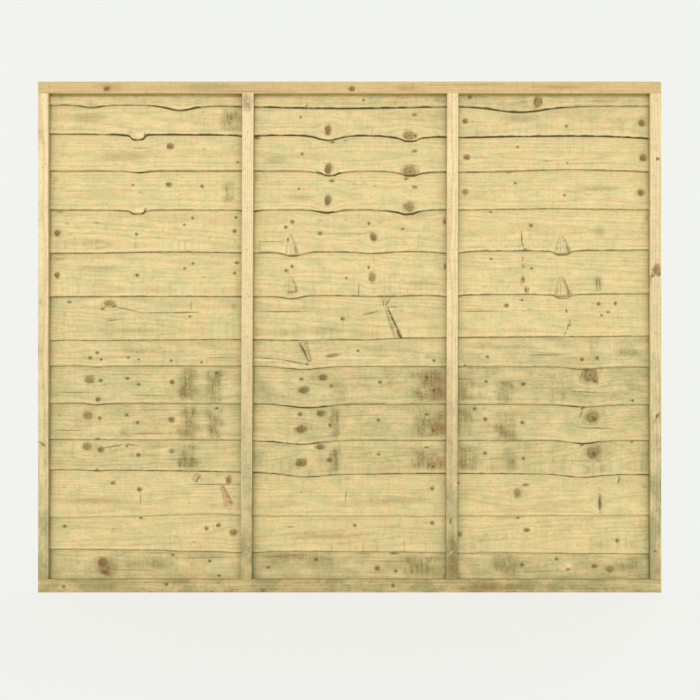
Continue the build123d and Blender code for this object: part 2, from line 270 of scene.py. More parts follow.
# %% Where the marks are
MARKS = {
    "board_01": {
        "streak": [(-349, 1462, 29.5, 3.5), (391, 1459, 32.5, 3), (513, 1444, 35.5, 5.5, -4),
            (740, 1447, 41.5, 6)],
        "pin": [(41, 1450, 4.5, 4.5), (-127, 1433, 3.5, 3), (356, 1459, 6.5, 6)],
        "smudge": [(124, 1441, 19, 7), (267, 1450, 20.5, 9)],
        "knot": [(-535, 1422, 6, 4.5)],
        "green": [(-856, 1459, 17.5, 6), (-761, 1438, 17.5, 9)],
        "ring": [(556, 1443, 11, 17, 12)],
        "line": [(548, 1448, 2.5, 14, 22), (566, 1446, 2.5, 12, -16)],
    },
    "board_02": {
        "faint": [(-433, 1415, 6, 4.5)],
        "pin": [(-145, 1400, 4, 4), (640, 1373, 4.5, 4.5)],
        "dark": [(192, 1407, 7.5, 5.5), (195, 1345, 4, 7, -12), (-604, 1346, 3.5, 6, 20)],
        "ring": [(176, 1345, 18, 13)],
        "pale": [(-620, 1346, 15, 9)],
        "red": [(-648, 1354, 9, 8)],
        "knot": [(341, 1388, 7.5, 7), (863, 1383, 10.5, 11), (-63, 1361, 9.5, 15.5, 8)],
        "streak": [(380, 1386, 35.5, 3), (504, 1397, 59, 12)],
        "stain": [(-348, 1391, 29.5, 32.5)],
        "green": [(-773, 1397, 47.5, 15)],
    },
    "board_03": {
        "knot": [(-530, 1314, 10, 8.5), (346, 1281, 9, 8), (867, 1279, 11, 10.5),
            (-62, 1247, 10, 16, 8)],
        "faint": [(-429, 1305, 6, 4.5)],
        "line": [(-609, 1309, 29.5, 1.5), (-11, 1332, 7, 2, -20), (586, 1270, 17.5, 1.5)],
        "pin": [(-330, 1267, 3.5, 3), (-140, 1291, 4, 4.5), (497, 1312, 4, 4),
            (643, 1264, 3.5, 2.5)],
        "dark": [(193, 1300, 8.5, 6, -10), (-49, 1327, 6.5, 4.5, -15), (-274, 1339, 9, 6)],
        "ring": [(178, 1239, 22, 17.5)],
        "streak": [(391, 1281, 41.5, 3.5), (711, 1264, 100.5, 2, -2)],
        "green": [(-679, 1284, 65, 15)],
        "smudge": [(-221, 1273, 29.5, 12)],
    },
    "board_04": {
        "knot": [(-535, 1201, 9, 7.5), (860, 1177, 10, 10), (-64, 1154, 10, 15.5, 9)],
        "pin": [(-436, 1196, 6, 5), (-640, 1199, 3.5, 3), (-150, 1188, 4, 4), (489, 1205, 4.5, 4),
            (634, 1169, 4.5, 4)],
        "green": [(-868, 1216, 9, 9)],
        "faint": [(-620, 1178, 6, 4.5), (13, 1205, 4.5, 3.5), (41, 1208, 4.5, 3.5),
            (75, 1196, 6, 4)],
        "stain": [(-358, 1181, 15, 29.5)],
        "dark": [(-52, 1212, 9, 5), (167, 1218, 7.5, 4.5), (192, 1194, 8.5, 5.5),
            (-604, 1124, 3.5, 6, 20)],
        "pale": [(-622, 1124, 14, 9)],
        "smudge": [(-275, 1221, 7, 9)],
        "ring": [(174, 1134, 15, 15), (341, 1179, 9, 8.5)],
        "line": [(471, 1236, 9, 2.5)],
        "streak": [(-147, 1163, 53, 9), (740, 1190, 71, 9)],
    },
    "board_05": {
        "smudge": [(-854, 1120, 15, 6), (879, 1104, 6, 9)],
        "knot": [(-863, 1057, 9, 9), (-339, 1063, 6, 5.5), (70, 1046, 9, 13, -20)],
        "line": [(-747, 1088, 12, 2), (-232, 1032, 44.5, 1.5, -1), (508, 1042, 2, 23.5)],
        "faint": [(-835, 1086, 6, 4), (-11, 1099, 4, 3.5)],
        "pin": [(-629, 1054, 5, 4.5), (-464, 1102, 4.5, 4.5), (-488, 1082, 4, 3.5),
            (-336, 1104, 5, 4.5), (-168, 1091, 6, 5.5), (-188, 1075, 5.5, 5), (-87, 1057, 6, 5.5),
            (57, 1086, 5, 4.5), (157, 1070, 4.5, 4), (417, 1120, 4, 3.5), (536, 1080, 5.5, 5)],
        "fan": [(-173, 1022, 17, 36, -6), (627, 1022, 22, 30, -4)],
        "greenline": [(509, 1046, 3, 12), (512, 1022, 3.5, 10, -15)],
        "redstreak": [(-11, 1057, 71, 3.5)],
        "red": [(-87, 1095, 7, 4.5)],
        "dark": [(281, 1092, 5.5, 10), (731, 1005, 6, 3), (518, 1008, 7, 5, -35),
            (-182, 1038, 4, 7)],
        "streak": [(867, 1073, 17.5, 3)],
        "green": [(740, 1060, 15, 17.5), (-782, 1027, 59, 9), (193, 1110, 41.5, 9)],
    },
    "board_06": {
        "smudge": [(-859, 980, 17.5, 5.5, -6), (735, 917, 14, 16), (511, 915, 9, 14)],
        "knot": [(-865, 933, 7.5, 7.5), (-628, 933, 5.5, 5.5)],
        "pin": [(-463, 968, 4.5, 4), (-487, 953, 4, 3.5), (-334, 970, 5.5, 4.5),
            (-339, 939, 5, 5), (-170, 959, 5.5, 5.5), (-188, 947, 5.5, 5), (57, 956, 4.5, 4.5),
            (-9, 924, 4, 3.5), (418, 981, 4, 3.5), (538, 953, 5, 4.5)],
        "faint": [(-430, 928, 6, 4)],
        "ring": [(68, 927, 9, 13.5)],
        "line": [(27, 893, 1.5, 22, 2), (730, 904, 2, 19, 2), (739, 904, 2, 19, -2),
            (518, 890, 2, 10), (528, 890, 2, 10)],
        "dark": [(282, 959, 4.5, 9), (513, 921, 4.5, 9), (521, 889, 5, 9, -10)],
        "streak": [(445, 981, 23.5, 2)],
        "greenline": [(512, 981, 3, 9), (513, 960, 4, 9)],
        "green": [(-738, 953, 71, 9), (208, 909, 47.5, 9)],
        "fan": [(-171, 907, 14, 27, -8), (627, 900, 22, 33, -4)],
        "redstreak": [(735, 920, 12, 10)],
    },
    "board_07": {
        "red": [(-877, 853, 9, 4.5), (106, 857, 7, 11)],
        "pin": [(-829, 854, 7, 4), (-472, 811, 4.5, 3.5), (-21, 804, 6.5, 5.5),
            (510, 860, 4.5, 3.5), (464, 844, 6, 5.5), (736, 848, 6.5, 5.5), (786, 850, 5.5, 5),
            (763, 824, 4.5, 3.5), (744, 814, 4, 3.5)],
        "ring": [(-711, 850, 17.5, 9)],
        "dark": [(-730, 834, 6.5, 4.5), (-696, 841, 9, 4, -20), (122, 741, 7, 2.5),
            (641, 828, 3.5, 4), (649, 785, 5, 4)],
        "line": [(-469, 845, 1.5, 13.5), (-192, 825, 85.5, 2), (385, 826, 65, 1.5),
            (474, 741, 1.5, 13.5), (-653, 831, 46, 2, 13), (-560, 822, 55, 2),
            (-487, 823, 48, 2.5, -2), (99, 853, 2, 15, -7), (113, 853, 2.5, 17, 28),
            (124, 839, 23, 2, -3), (62, 821, 26, 2.5, -14), (100, 737, 10, 2.5, 8),
            (148, 738, 12, 2.5, -8), (-700, 800, 20, 2, -6)],
        "smudge": [(-342, 841, 7.5, 9), (589, 859, 7, 3.5)],
        "faint": [(530, 832, 6, 4)],
        "green": [(-87, 770, 71, 12)],
        "streak": [(-620, 770, 118, 9)],
        "split": [(127, 788, 9, 54, -21)],
        "greenline": [(641, 826, 2, 10, -12), (650, 795, 2.5, 10, 4), (644, 778, 3, 8),
            (637, 762, 2.5, 9, 14)],
    },
    "board_08": {
        "pin": [(-745, 704, 6, 4.5), (-766, 689, 6, 5), (-733, 684, 4.5, 4), (-653, 690, 4, 3.5),
            (-623, 684, 4.5, 3.5), (-526, 681, 4.5, 4), (-437, 676, 4, 3.5), (25, 710, 5, 4.5),
            (249, 681, 5, 4.5), (408, 692, 5.5, 4), (341, 667, 4.5, 3), (731, 689, 6, 5.5)],
        "line": [(-374, 689, 50.5, 1.5), (581, 697, 53, 2), (-240, 687, 45, 2, 4),
            (-165, 677, 42, 2.5, 10)],
        "dark": [(-126, 670, 4.5, 4)],
        "streak": [(99, 691, 20.5, 2.5), (444, 667, 17.5, 2), (590, 702, 60, 3.5, 4),
            (100, 695, 60, 3)],
        "green": [(232, 693, 9, 6)],
        "knot": [(686, 684, 6.5, 5.5)],
        "pale": [(714, 714, 4.5, 20.5), (50, 689, 130, 5), (-250, 682, 36, 4)],
        "split": [(-127, 707, 9, 34, 159)],
        "smudge": [(-590, 708, 118, 6), (829, 705, 47.5, 9)],
        "ring": [(-50, 696, 20, 5, -10)],
    },
    "board_09": {
        "ring": [(-770, 625, 13, 12), (712, 638, 23, 20, -25)],
        "pin": [(-735, 622, 6.5, 5.5), (-656, 628, 5.5, 4.5), (-623, 610, 5.5, 4.5),
            (-142, 626, 6.5, 5.5), (-54, 606, 5.5, 5), (90, 617, 5.5, 5), (228, 631, 6, 4),
            (249, 593, 6, 5.5), (403, 619, 6, 4.5), (514, 612, 6.5, 5.5), (835, 563, 5, 4.5)],
        "knot": [(-524, 617, 7.5, 6.5), (-743, 567, 7.5, 6), (-79, 631, 12, 9),
            (-135, 594, 15, 10, -8), (727, 620, 8, 7)],
        "dark": [(-390, 644, 7, 5.5), (700, 652, 9, 3.5, -35)],
        "smudge": [(249, 594, 15, 9), (229, 579, 7, 4.5), (631, 572, 7.5, 19), (-28, 590, 24, 30),
            (-250, 590, 26, 30)],
        "red": [(514, 612, 15, 10)],
        "stain": [(-478, 610, 26.5, 50.5), (-398, 605, 23.5, 47.5), (232, 610, 44.5, 50.5),
            (336, 605, 28, 44), (462, 588, 26, 34)],
        "line": [(-812, 587, 53, 1.5), (-590, 578, 59, 1.5), (330, 626, 40, 2, 2),
            (700, 588, 44, 2, 3), (686, 636, 2.5, 13, 14)],
        "rust": [(268, 578, 34, 24), (262, 620, 30, 14)],
        "streak": [(60, 630, 60, 3), (-640, 640, 80, 3), (600, 600, 90, 3)],
    },
    "board_10": {
        "ring": [(-774, 519, 13, 12), (718, 514, 21, 18, -20)],
        "pin": [(-738, 511, 6.5, 5.5), (-658, 520, 5.5, 4.5), (-626, 498, 5.5, 4.5),
            (-392, 540, 6, 4), (-147, 522, 6.5, 5.5), (-58, 490, 6, 5.5), (86, 505, 5.5, 5),
            (228, 522, 6, 4), (248, 475, 6, 5.5), (370, 538, 6, 5), (400, 508, 6, 5),
            (510, 498, 6, 5)],
        "knot": [(-527, 507, 9, 8), (-85, 525, 13, 10), (-142, 478, 17, 12, -10),
            (723, 509, 7, 6)],
        "smudge": [(-667, 472, 13, 10.5)],
        "dark": [(-743, 450, 7.5, 4), (690, 540, 9, 3, -30)],
        "red": [(684, 548, 13, 4)],
        "stain": [(-478, 501, 26.5, 50.5), (-398, 495, 23.5, 47.5), (-44, 490, 13, 47.5),
            (232, 498, 44.5, 50.5), (336, 500, 26, 44), (462, 488, 32, 42)],
        "line": [(-826, 475, 47.5, 1.5), (-590, 466, 65, 1.5), (326, 531, 10, 2, 50),
            (735, 481, 60, 2, 1), (684, 522, 2.5, 11, 25)],
        "rust": [(262, 478, 30, 26)],
        "streak": [(-560, 535, 90, 3), (60, 520, 60, 3)],
    },
    "board_11": {
        "ring": [(-776, 427, 13, 12), (-525, 413, 8, 7), (720, 409, 21, 18, -15)],
        "knot": [(-735, 418, 9, 8), (-87, 425, 13, 9), (-144, 379, 17, 12, -10),
            (-59, 387, 7.5, 6), (722, 406, 8, 7)],
        "pin": [(-658, 428, 4.5, 4), (-623, 402, 6, 5.5), (86, 404, 5.5, 5), (228, 424, 6.5, 3),
            (247, 368, 5, 4.5), (400, 407, 5.5, 5), (513, 392, 5, 4.5), (835, 441, 4.5, 3)],
        "streak": [(-590, 401, 29.5, 2), (-500, 390, 70, 3), (690, 385, 70, 3)],
        "dark": [(-745, 359, 7, 3.5), (688, 432, 9, 3, -25)],
        "smudge": [(480, 383, 9, 5.5), (474, 384, 22, 28)],
        "stain": [(-478, 398, 26.5, 35.5), (-44, 386, 13, 35.5), (232, 392, 44.5, 32.5),
            (350, 392, 34, 36)],
        "line": [(-695, 428, 36, 2, -9), (-645, 432, 20, 2, 7)],
        "rust": [(255, 380, 34, 24)],
    },
    "board_12": {
        "pin": [(-699, 319, 6.5, 5.5), (244, 303, 6.5, 5.5), (320, 319, 4.5, 3.5)],
        "smudge": [(-844, 307, 6.5, 4)],
        "knot": [(-621, 300, 7.5, 6)],
        "green": [(-5, 331, 10, 5.5)],
        "greenline": [(-11, 282, 2.5, 23.5, 4), (740, 262, 7, 31), (-617, 272, 2, 20)],
        "faint": [(-141, 292, 6, 4)],
        "dark": [(521, 314, 9, 5), (796, 327, 3.5, 10, 10), (738, 262, 4, 20)],
        "ring": [(495, 290, 10.5, 13)],
        "line": [(872, 307, 12, 1.5), (-395, 315, 78, 2)],
        "streak": [(-738, 268, 88.5, 12), (149, 268, 118, 12)],
        "redknot": [(-357, 328, 9, 12, 4)],
        "red": [(-366, 280, 7, 28, -22)],
        "redsplit": [(-453, 335, 6, 14, 32)],
        "redwedge": [(-367, 282, 9, 34, -22)],
    },
    "board_13": {
        "pin": [(-617, 216, 6, 4), (-841, 191, 6, 4.5), (-388, 194, 6.5, 5.5),
            (-422, 185, 6, 5.5), (16, 194, 5, 4.5), (498, 216, 6, 3), (790, 149, 6.5, 5.5)],
        "green": [(-698, 180, 7.5, 7)],
        "ring": [(-342, 173, 12, 9.5), (325, 168, 9, 8.5)],
        "dark": [(-340, 173, 4.5, 4), (245, 201, 7, 6)],
        "faint": [(-458, 145, 6, 4)],
        "line": [(-174, 189, 10.5, 2)],
        "smudge": [(202, 219, 10, 3)],
        "knot": [(524, 180, 9, 6)],
        "pale": [(790, 139, 4.5, 15)],
        "streak": [(-58, 164, 118, 12)],
    },
    "board_14": {
        "pin": [(-523, 107, 6.5, 4.5), (-413, 89, 5, 4.5), (-386, 46, 6, 4), (-99, 93, 6, 4),
            (-240, 70, 6, 4.5), (510, 78, 6.5, 5.5), (612, 94, 5, 4.5)],
        "red": [(82, 67, 13.5, 12), (-706, 49, 11, 8)],
        "knot": [(82, 67, 7, 6.5), (724, 74, 9, 6), (-730, 84, 15, 14, 20)],
        "dark": [(137, 59, 6, 5.5), (130, 111, 12, 4), (647, 64, 7.5, 3.5),
            (-722, 56, 14, 7, 12)],
        "burr": [(-714, 70, 34, 28, 10)],
        "streak": [(37, 110, 32.5, 3), (-300, 22, 90, 4), (420, 24, 80, 4)],
        "redstreak": [(-218, 101, 59, 6, 4)],
        "pale": [(647, 75, 12, 7)],
        "ring": [(767, 65, 13, 8.5)],
        "stain": [(462, 80, 38.5, 29.5), (193, 75, 65, 26.5)],
        "smudge": [(-712, 70, 30, 26), (-130, 92, 120, 22), (-600, 78, 66, 17),
            (829, 75, 41.5, 26.5)],
        "redline": [(-560, 112, 60, 2, 1), (-180, 104, 75, 2.5, -2), (-640, 62, 70, 2.2, 1),
            (-430, 98, 90, 2.2, -1), (120, 88, 80, 2.2, 1), (560, 58, 90, 2.2, -1)],
    },
    "top_rail": {
        "dark": [(-713, 1479, 9.5, 8)],
        "red": [(-698, 1484, 44, 12), (169, 1481, 41, 10.5), (618, 1484, 88, 9)],
        "knot": [(7, 1479, 9, 7.5)],
        "green": [(-410, 1484, 117.5, 9)],
        "line": [(-713, 1479, 10, 2, -40), (-707, 1483, 8, 2, -50)],
        "streak": [(-300, 1472, 150, 3), (350, 1490, 180, 3)],
    },
    "bottom_rail": {
        "dark": [(128, 21, 6, 6), (-254, 6, 6, 4.5), (-536, 25, 5, 3, 30)],
        "rust": [(-880, 22, 26, 9), (-520, 30, 60, 6), (420, 14, 120, 8)],
        "pin": [(-538, 24, 4.5, 4), (-839, 18, 6, 4.5)],
        "smudge": [(442, 18, 76.5, 9)],
        "streak": [(-600, 30, 140, 2.5), (-200, 10, 160, 3), (300, 28, 150, 3),
            (700, 12, 120, 3)],
        "blush": [(-700, 14, 60, 10), (-120, 24, 70, 9), (380, 14, 80, 10)],
    },
    "left_stile": {
        "green": [(-908, 1340, 6.5, 23.5, -20), (-907, 852, 6, 14.5)],
        "red": [(-908, 711, 6, 14.5)],
        "smudge": [(-903, 434, 13, 12, 20)],
        "dark": [(-899, 434, 7, 3.5, 25)],
        "redline": [(-906, 440, 12, 3, 25)],
    },
    "right_stile": {
        "red": [(905, 1273, 9, 7.5), (903, 62, 6, 20.5)],
        "knot": [(905, 1273, 4.5, 4)],
        "redline": [(905, 519, 4, 12, 28), (897, 505, 3, 14, 32)],
        "dark": [(903, 520, 9, 4, -50), (890, 930, 8, 4, -25), (910, 935, 4.5, 8, 10)],
        "pin": [(897, 121, 4.5, 4)],
        "redknot": [(901, 948, 11, 17, 16)],
        "redstreak": [(884, 915, 5, 24, 8)],
    },
    "left_mid_batten": {
        "smudge": [(-301, 123, 16, 66)],
        "rust": [(-301, 1440, 16, 24)],
        "red": [(-294, 1424, 4, 9)],
        "green": [(-301, 1440, 14, 24)],
    },
    "right_mid_batten": {
        "smudge": [(304, 84, 18, 62), (301, 158, 13, 62)],
        "rust": [(302, 70, 18, 46)],
        "dark": [(296, 210, 3, 9)],
    },
}
print(sum(len(places) for marks in MARKS.values() for places in marks.values()), "marks")

# %% [markdown]
# ## What each kind of mark looks like
#
# Each kind has five numbers. Depth is how strongly it darkens the wood, below zero for a pale
# mark. Tint runs from -1, green brown, to 1, red brown. Softness is how blurred its outline is.
# Middle is how much lighter its middle is, as in a sound knot inside a dark ring of bark: a middle
# of 2 stands for a fan, which is a branch cut lengthways, and values from 1.5 to 2 for splits
# with straighter sides. Reach is how far the mark can be seen, in half widths. Broad stains are
# softer than the mesh cells, so they are painted straight into the vertices instead, as an
# amount of dark, of dirt and of rust red.

# %% Kinds of marks
SHARP_KINDS = {
    "knot": (1.1, 0.15, 0.45, 0.5, 1.8),
    "redknot": (1.0, 0.7, 0.5, 0.3, 1.8),
    "pin": (0.85, 0.0, 0.8, 0.0, 1.9),
    "ring": (0.92, 0.1, 0.6, 0.9, 1.8),
    "burr": (0.66, 0.1, 0.9, 0.7, 1.6),
    "dark": (0.8, 0.1, 0.7, 0.0, 1.9),
    "red": (0.35, 1.0, 0.9, 0.0, 1.9),
    "faint": (0.35, 0.1, 0.9, 0.0, 1.9),
    "pale": (-0.5, 0.0, 0.7, 0.0, 1.8),
    "line": (0.75, -0.2, 0.6, 0.0, 1.5),
    "streak": (0.3, 0.1, 0.9, 0.0, 1.6),
    "redstreak": (0.35, 0.8, 0.9, 0.0, 1.6),
    "redline": (0.6, 0.8, 0.6, 0.0, 1.5),
    "greenline": (0.6, -0.8, 0.6, 0.0, 1.5),
    "fan": (0.7, 0.2, 0.5, 2.0, 1.6),
    "split": (1.0, -0.1, 0.95, 1.88, 1.6),
    "redsplit": (0.9, 0.7, 0.9, 1.55, 1.6),
    "redwedge": (0.8, 0.8, 1.0, 1.88, 1.6),
}
BROAD_KINDS = {
    "stain": (0.75, 0.2, 0.0),
    "smudge": (0.5, 0.2, 0.0),
    "green": (0.1, 0.6, 0.0),
    "blush": (0.0, 0.0, 0.6),
    "rust": (0.2, 0.0, 0.7),
}
# A mark of these kinds counts as a broad blush when its half height is above WIDEST_SHARP
SOFT_WHEN_WIDE = ("red", "streak", "pale")
WIDEST_SHARP = 12.0


def marks_on(node):
    """Every mark of a piece as (kind, x, z, half width, half height, turn), largest first."""
    found = []
    for kind, places in MARKS.get(node, {}).items():
        for x, z, across, up, *turn in places:
            found.append((kind, x, z, across, up, turn[0] if turn else 0))
    return sorted(found, key=lambda mark: -mark[3] * mark[4])


print("board 6 has", len(marks_on("board_06")), "marks")

# %% [markdown]
# ## Painting marks into a mesh
#
# A shader could test every pixel against every knot, but that would be slow. Instead each corner
# of the mesh carries, for the mark it belongs to, its offset from the mark's centre measured in
# half widths and half heights. That offset is a straight line function of the place, so the
# renderer's blending between corners gives it exactly at every pixel, and the knot's outline is
# sharp however coarse the mesh is. Five layers hold marks that lie close together, one more holds
# fans and splits, and a strength that falls to zero one cell outside keeps a mark from leaking.

# %% Lay the marks in layers
LAYER_COUNT = 6
FAN_LAYER = LAYER_COUNT - 1
FANS_FROM = 1.5
FAR_AWAY = 9.0
MARGIN_CELLS = 3


def offsets(points, mark):
    """Each point's offset from a mark in mm, along the mark's own two axes."""
    kind, x, z, across, up, turn = mark
    tilt = math.radians(turn)
    dx = points[:, 0] / MM - x
    dz = points[:, 2] / MM - z
    return (dx * math.cos(tilt) - dz * math.sin(tilt), dx * math.sin(tilt) + dz * math.cos(tilt))


def lay_marks(points, marks, cell):
    """The layers' offsets and looks, the broad stains, and how many marks found no room."""
    count = len(points)
    places = [np.full((count, 3), FAR_AWAY) for layer in range(LAYER_COUNT)]
    looks = [np.zeros((count, 3)) for layer in range(LAYER_COUNT)]
    taken = [np.zeros(count, bool) for layer in range(LAYER_COUNT)]
    casts = np.zeros((count, 3))
    left_over = 0
    for mark in marks:
        kind, across, up = mark[0], mark[3], mark[4]
        along, over = offsets(points, mark)
        if kind in BROAD_KINDS or (kind in SOFT_WHEN_WIDE and up > WIDEST_SHARP):
            amounts = BROAD_KINDS.get(kind, BROAD_KINDS["blush"])
            if kind == "stain":
                ragged = along + 0.2 * across * np.sin(over / 7 + along / 23 + mark[1])
                fall = np.exp(-(ragged / across) ** 4 - (over / up) ** 8)
            else:
                fall = np.exp(-((along / across) ** 2 + (over / up) ** 2) ** 1.5)
            casts += np.outer(fall, amounts)
            continue
        depth, tint, soft, middle, reach = SHARP_KINDS[kind]
        margin = MARGIN_CELLS * cell
        ring = np.hypot(along / (reach * across + margin), over / (reach * up + margin)) < 1
        zone = np.hypot(along / (reach * across + cell), over / (reach * up + cell)) < 1
        for layer in [FAN_LAYER] if middle > FANS_FROM else range(FAN_LAYER):
            if not (taken[layer] & ring).any():
                places[layer][ring] = np.stack(
                    (along[ring] / across, over[ring] / up, np.full(ring.sum(), middle)), axis=1)
                looks[layer][ring] = (0.0, tint, soft)
                looks[layer][zone] = (depth, tint, soft)
                taken[layer] |= ring
                break
        else:
            left_over += 1
    return places, looks, np.minimum(casts, 1.0), left_over


trial_points = np.array([(-0.063, 0, 1.361), (-0.3, 0, 1.361)])
trial_looks = lay_marks(trial_points, marks_on("board_02"), 5.0)[1]
print("darkening on a knot and away from it:",
      [max(float(look[place, 0]) for look in trial_looks) for place in (0, 1)])

# %% [markdown]
# ## Which way the grain runs
#
# The wood pattern is drawn in the tree's own coordinates: along the trunk, across it, and in
# depth, measured from the pith at the centre of its growth rings. Around a knot the fibres
# bow out like water around a stone, and near the waney edge they follow its swellings. Both are
# done by shifting the across coordinate, vertex by vertex.

# %% Bend the grain round knots
BENDING_KINDS = ("knot", "ring", "pin", "dark")


def bend_round_knots(points, across_grain, marks):
    """Shift the across coordinate, in mm, so that grain lines flow round each knot."""
    bent = across_grain.copy()
    for mark in marks:
        if mark[0] not in BENDING_KINDS:
            continue
        along, over = offsets(points, mark)
        wide, high = mark[3], mark[4]
        near = np.exp(-(along / (2.6 * wide + 8)) ** 2)
        fade = np.exp(-np.abs(over) / (2.5 * high + 5))
        bent -= 1.1 * high * near * fade * np.tanh(over / (0.6 * high))
    return bent


def set_attribute(mesh, name, values):
    """Store one vector at each corner of the mesh."""
    stored = mesh.attributes.new(name, "FLOAT_VECTOR", "POINT")
    stored.data.foreach_set("vector", np.asarray(values, dtype=np.float32).ravel())


trial_bend = bend_round_knots(trial_points + (0, 0, 0.02), np.zeros(2), marks_on("board_02"))
print("20 mm above that knot the grain moves", round(-float(trial_bend[0]), 1), "mm")

# %% [markdown]
# ## Node helpers
#
# A shader in code is easier to read when each node takes one line. These helpers add a node and
# link or set its inputs in one go, and name the few sums that come back again and again.

# %% Helpers for shader nodes


def add(tree, kind, inputs=None, **settings):
    """A node with its settings, and a value or a link for each of the named inputs."""
    node = tree.nodes.new(kind)
    for name, value in settings.items():
        setattr(node, name, value)
    for key, value in (inputs or {}).items():
        if isinstance(value, bpy.types.NodeSocket):
            tree.links.new(value, node.inputs[key])
        else:
            node.inputs[key].default_value = value
    return node


def calc(tree, operation, *values, clamp=False):
    """One step of arithmetic."""
    return add(tree, "ShaderNodeMath", dict(enumerate(values)), operation=operation,
               use_clamp=clamp).outputs[0]


def times(tree, first, *others, clamp=False):
    """The product of all values, held between 0 and 1 at the end if clamp is set."""
    for place, value in enumerate(others, 1):
        first = calc(tree, "MULTIPLY", first, value, clamp=clamp and place == len(others))
    return first


def above_zero(tree, value):
    """How far a value lies above zero."""
    return calc(tree, "MAXIMUM", value, 0.0)


def below_zero(tree, value):
    """How far a value lies below zero."""
    return above_zero(tree, times(tree, value, -1.0))


def length_of(tree, first, second):
    """The length of the line whose two sides are given."""
    squares = calc(tree, "ADD", times(tree, first, first), times(tree, second, second))
    return calc(tree, "SQRT", squares)


def blend(tree, share, first, second, mode="MIX"):
    """A colour between two colours."""
    return add(tree, "ShaderNodeMix", {0: share, 6: first, 7: second}, data_type="RGBA",
               blend_type=mode).outputs[2]


def ramp(tree, value, from_low, from_high, to_low=0.0, to_high=1.0):
    """A value eased from one range into another, and held at its ends."""
    ranges = {0: value, 1: from_low, 2: from_high, 3: to_low, 4: to_high}
    return add(tree, "ShaderNodeMapRange", ranges, interpolation_type="SMOOTHSTEP").outputs[0]


def attribute(tree, name):
    """A vector that is stored at the mesh's corners."""
    return add(tree, "ShaderNodeAttribute", attribute_name=name).outputs["Vector"]


def parts(tree, vector):
    """The three numbers of a vector."""
    return add(tree, "ShaderNodeSeparateXYZ", {0: vector}).outputs


def emptied(block):
    """The node tree of a material or a world, with nothing in it yet."""
    block.use_nodes = True
    block.node_tree.nodes.clear()
    return block.node_tree


print("one short call each:", [helper.__name__ for helper in (add, calc, times, blend, ramp)])

# %% [markdown]
# ## One layer of marks as a node group
#
# The group turns a mark's offset into a distance, wobbles it so that no knot is a perfect oval,
# and eases it into a soft edged spot. A sound knot shows rings, lighter and redder between dark
# ones, has its darkest rim at the lower left, and sits in a faint dark halo.

# %% Build the mark group
KNOT_RINGS = 8.8
HALO_STRENGTH = 0.4
HEART_STRENGTH = 0.6


def start_group(name):
    """A node group with the sockets that every layer of marks needs."""
    group = bpy.data.node_groups.new(name, "ShaderNodeTree")
    sockets = [("Wood", "NodeSocketColor"), ("Offset", "NodeSocketVector"),
               ("Look", "NodeSocketVector"), ("Wobble", "NodeSocketFloat")]
    for socket, kind in sockets:
        group.interface.new_socket(socket, in_out="INPUT", socket_type=kind)
    group.interface.new_socket("Wood", in_out="OUTPUT", socket_type="NodeSocketColor")
    given = group.nodes.new("NodeGroupInput").outputs
    uneven = calc(group, "MULTIPLY_ADD", given["Wobble"], 0.9, 0.55)
    return group, given, parts(group, given["Offset"]), parts(group, given["Look"]), uneven


def end_group(group, wood):
    """Hand the finished colour out of the group."""
    result = group.nodes.new("NodeGroupOutput")
    group.links.new(wood, result.inputs["Wood"])
    return group


def toned_dark(group, tint):
    """Brown, turned red or green by the tint."""
    toned = blend(group, above_zero(group, tint), MARK_BROWN, MARK_RED)
    return blend(group, below_zero(group, tint), toned, MARK_GREEN)


def make_mark_group():
    """Spots and lines: knots, pins, cracks and streaks."""
    group, given, (across, up, middle), (depth, tint, soft), uneven = start_group("marks")
    distance = times(group, length_of(group, across, up), uneven)
    outer = calc(group, "MULTIPLY_ADD", soft, 0.5, 1.0)
    inner = calc(group, "MULTIPLY_ADD", soft, -0.75, 1.0)
    core = calc(group, "MULTIPLY_ADD", ramp(group, distance, 0.8, 0.2), 0.3, 0.7)
    body = times(group, ramp(group, distance, outer, inner), core)
    rings = calc(group, "COSINE", times(group, distance, KNOT_RINGS))
    heart = times(group, middle, calc(group, "MULTIPLY_ADD", rings, -0.5, 0.5))
    lower_left = times(group, calc(group, "ADD", across, up), -0.5)
    dark = times(group, above_zero(group, depth), body,
                 ramp(group, lower_left, -0.6, 0.7, 0.75, 1.12))
    rim = times(group, dark, calc(group, "MULTIPLY_ADD", heart, -0.9, 1.0), clamp=True)
    pale = times(group, below_zero(group, depth), body, clamp=True)
    halo = times(group, ramp(group, distance, 1.6, 0.9), ramp(group, depth, 0.7, 0.9),
                 HALO_STRENGTH)
    inside = times(group, heart, dark, HEART_STRENGTH, clamp=True)
    wood = blend(group, inside, given["Wood"], MARK_HEART)
    wood = blend(group, halo, wood, STAIN_DARK)
    wood = blend(group, pale, wood, MARK_PALE)
    return end_group(group, blend(group, rim, wood, toned_dark(group, tint)))


mark_group = make_mark_group()
print("mark group:", len(mark_group.nodes), "nodes")

# %% [markdown]
# ## Fans and splits
#
# A branch that the saw cut lengthways shows as a pale spike with dark lines in it, on a dark
# foot. A split in the wood is drawn the same way, with straighter sides and no foot. Both measure
# how far a place is from four lines that spread from the tip.

# %% Build the fan group
# Each line's place between the left side (-1) and the right (1), half its width, its strength
FAN_LINES = ((-1.0, 0.45, 0.6), (-0.3, 0.3, 0.5), (0.35, 0.28, 0.4), (1.0, 0.6, 1.0))
FAN_PALENESS = 0.1
FOOT_HEIGHT = -0.88


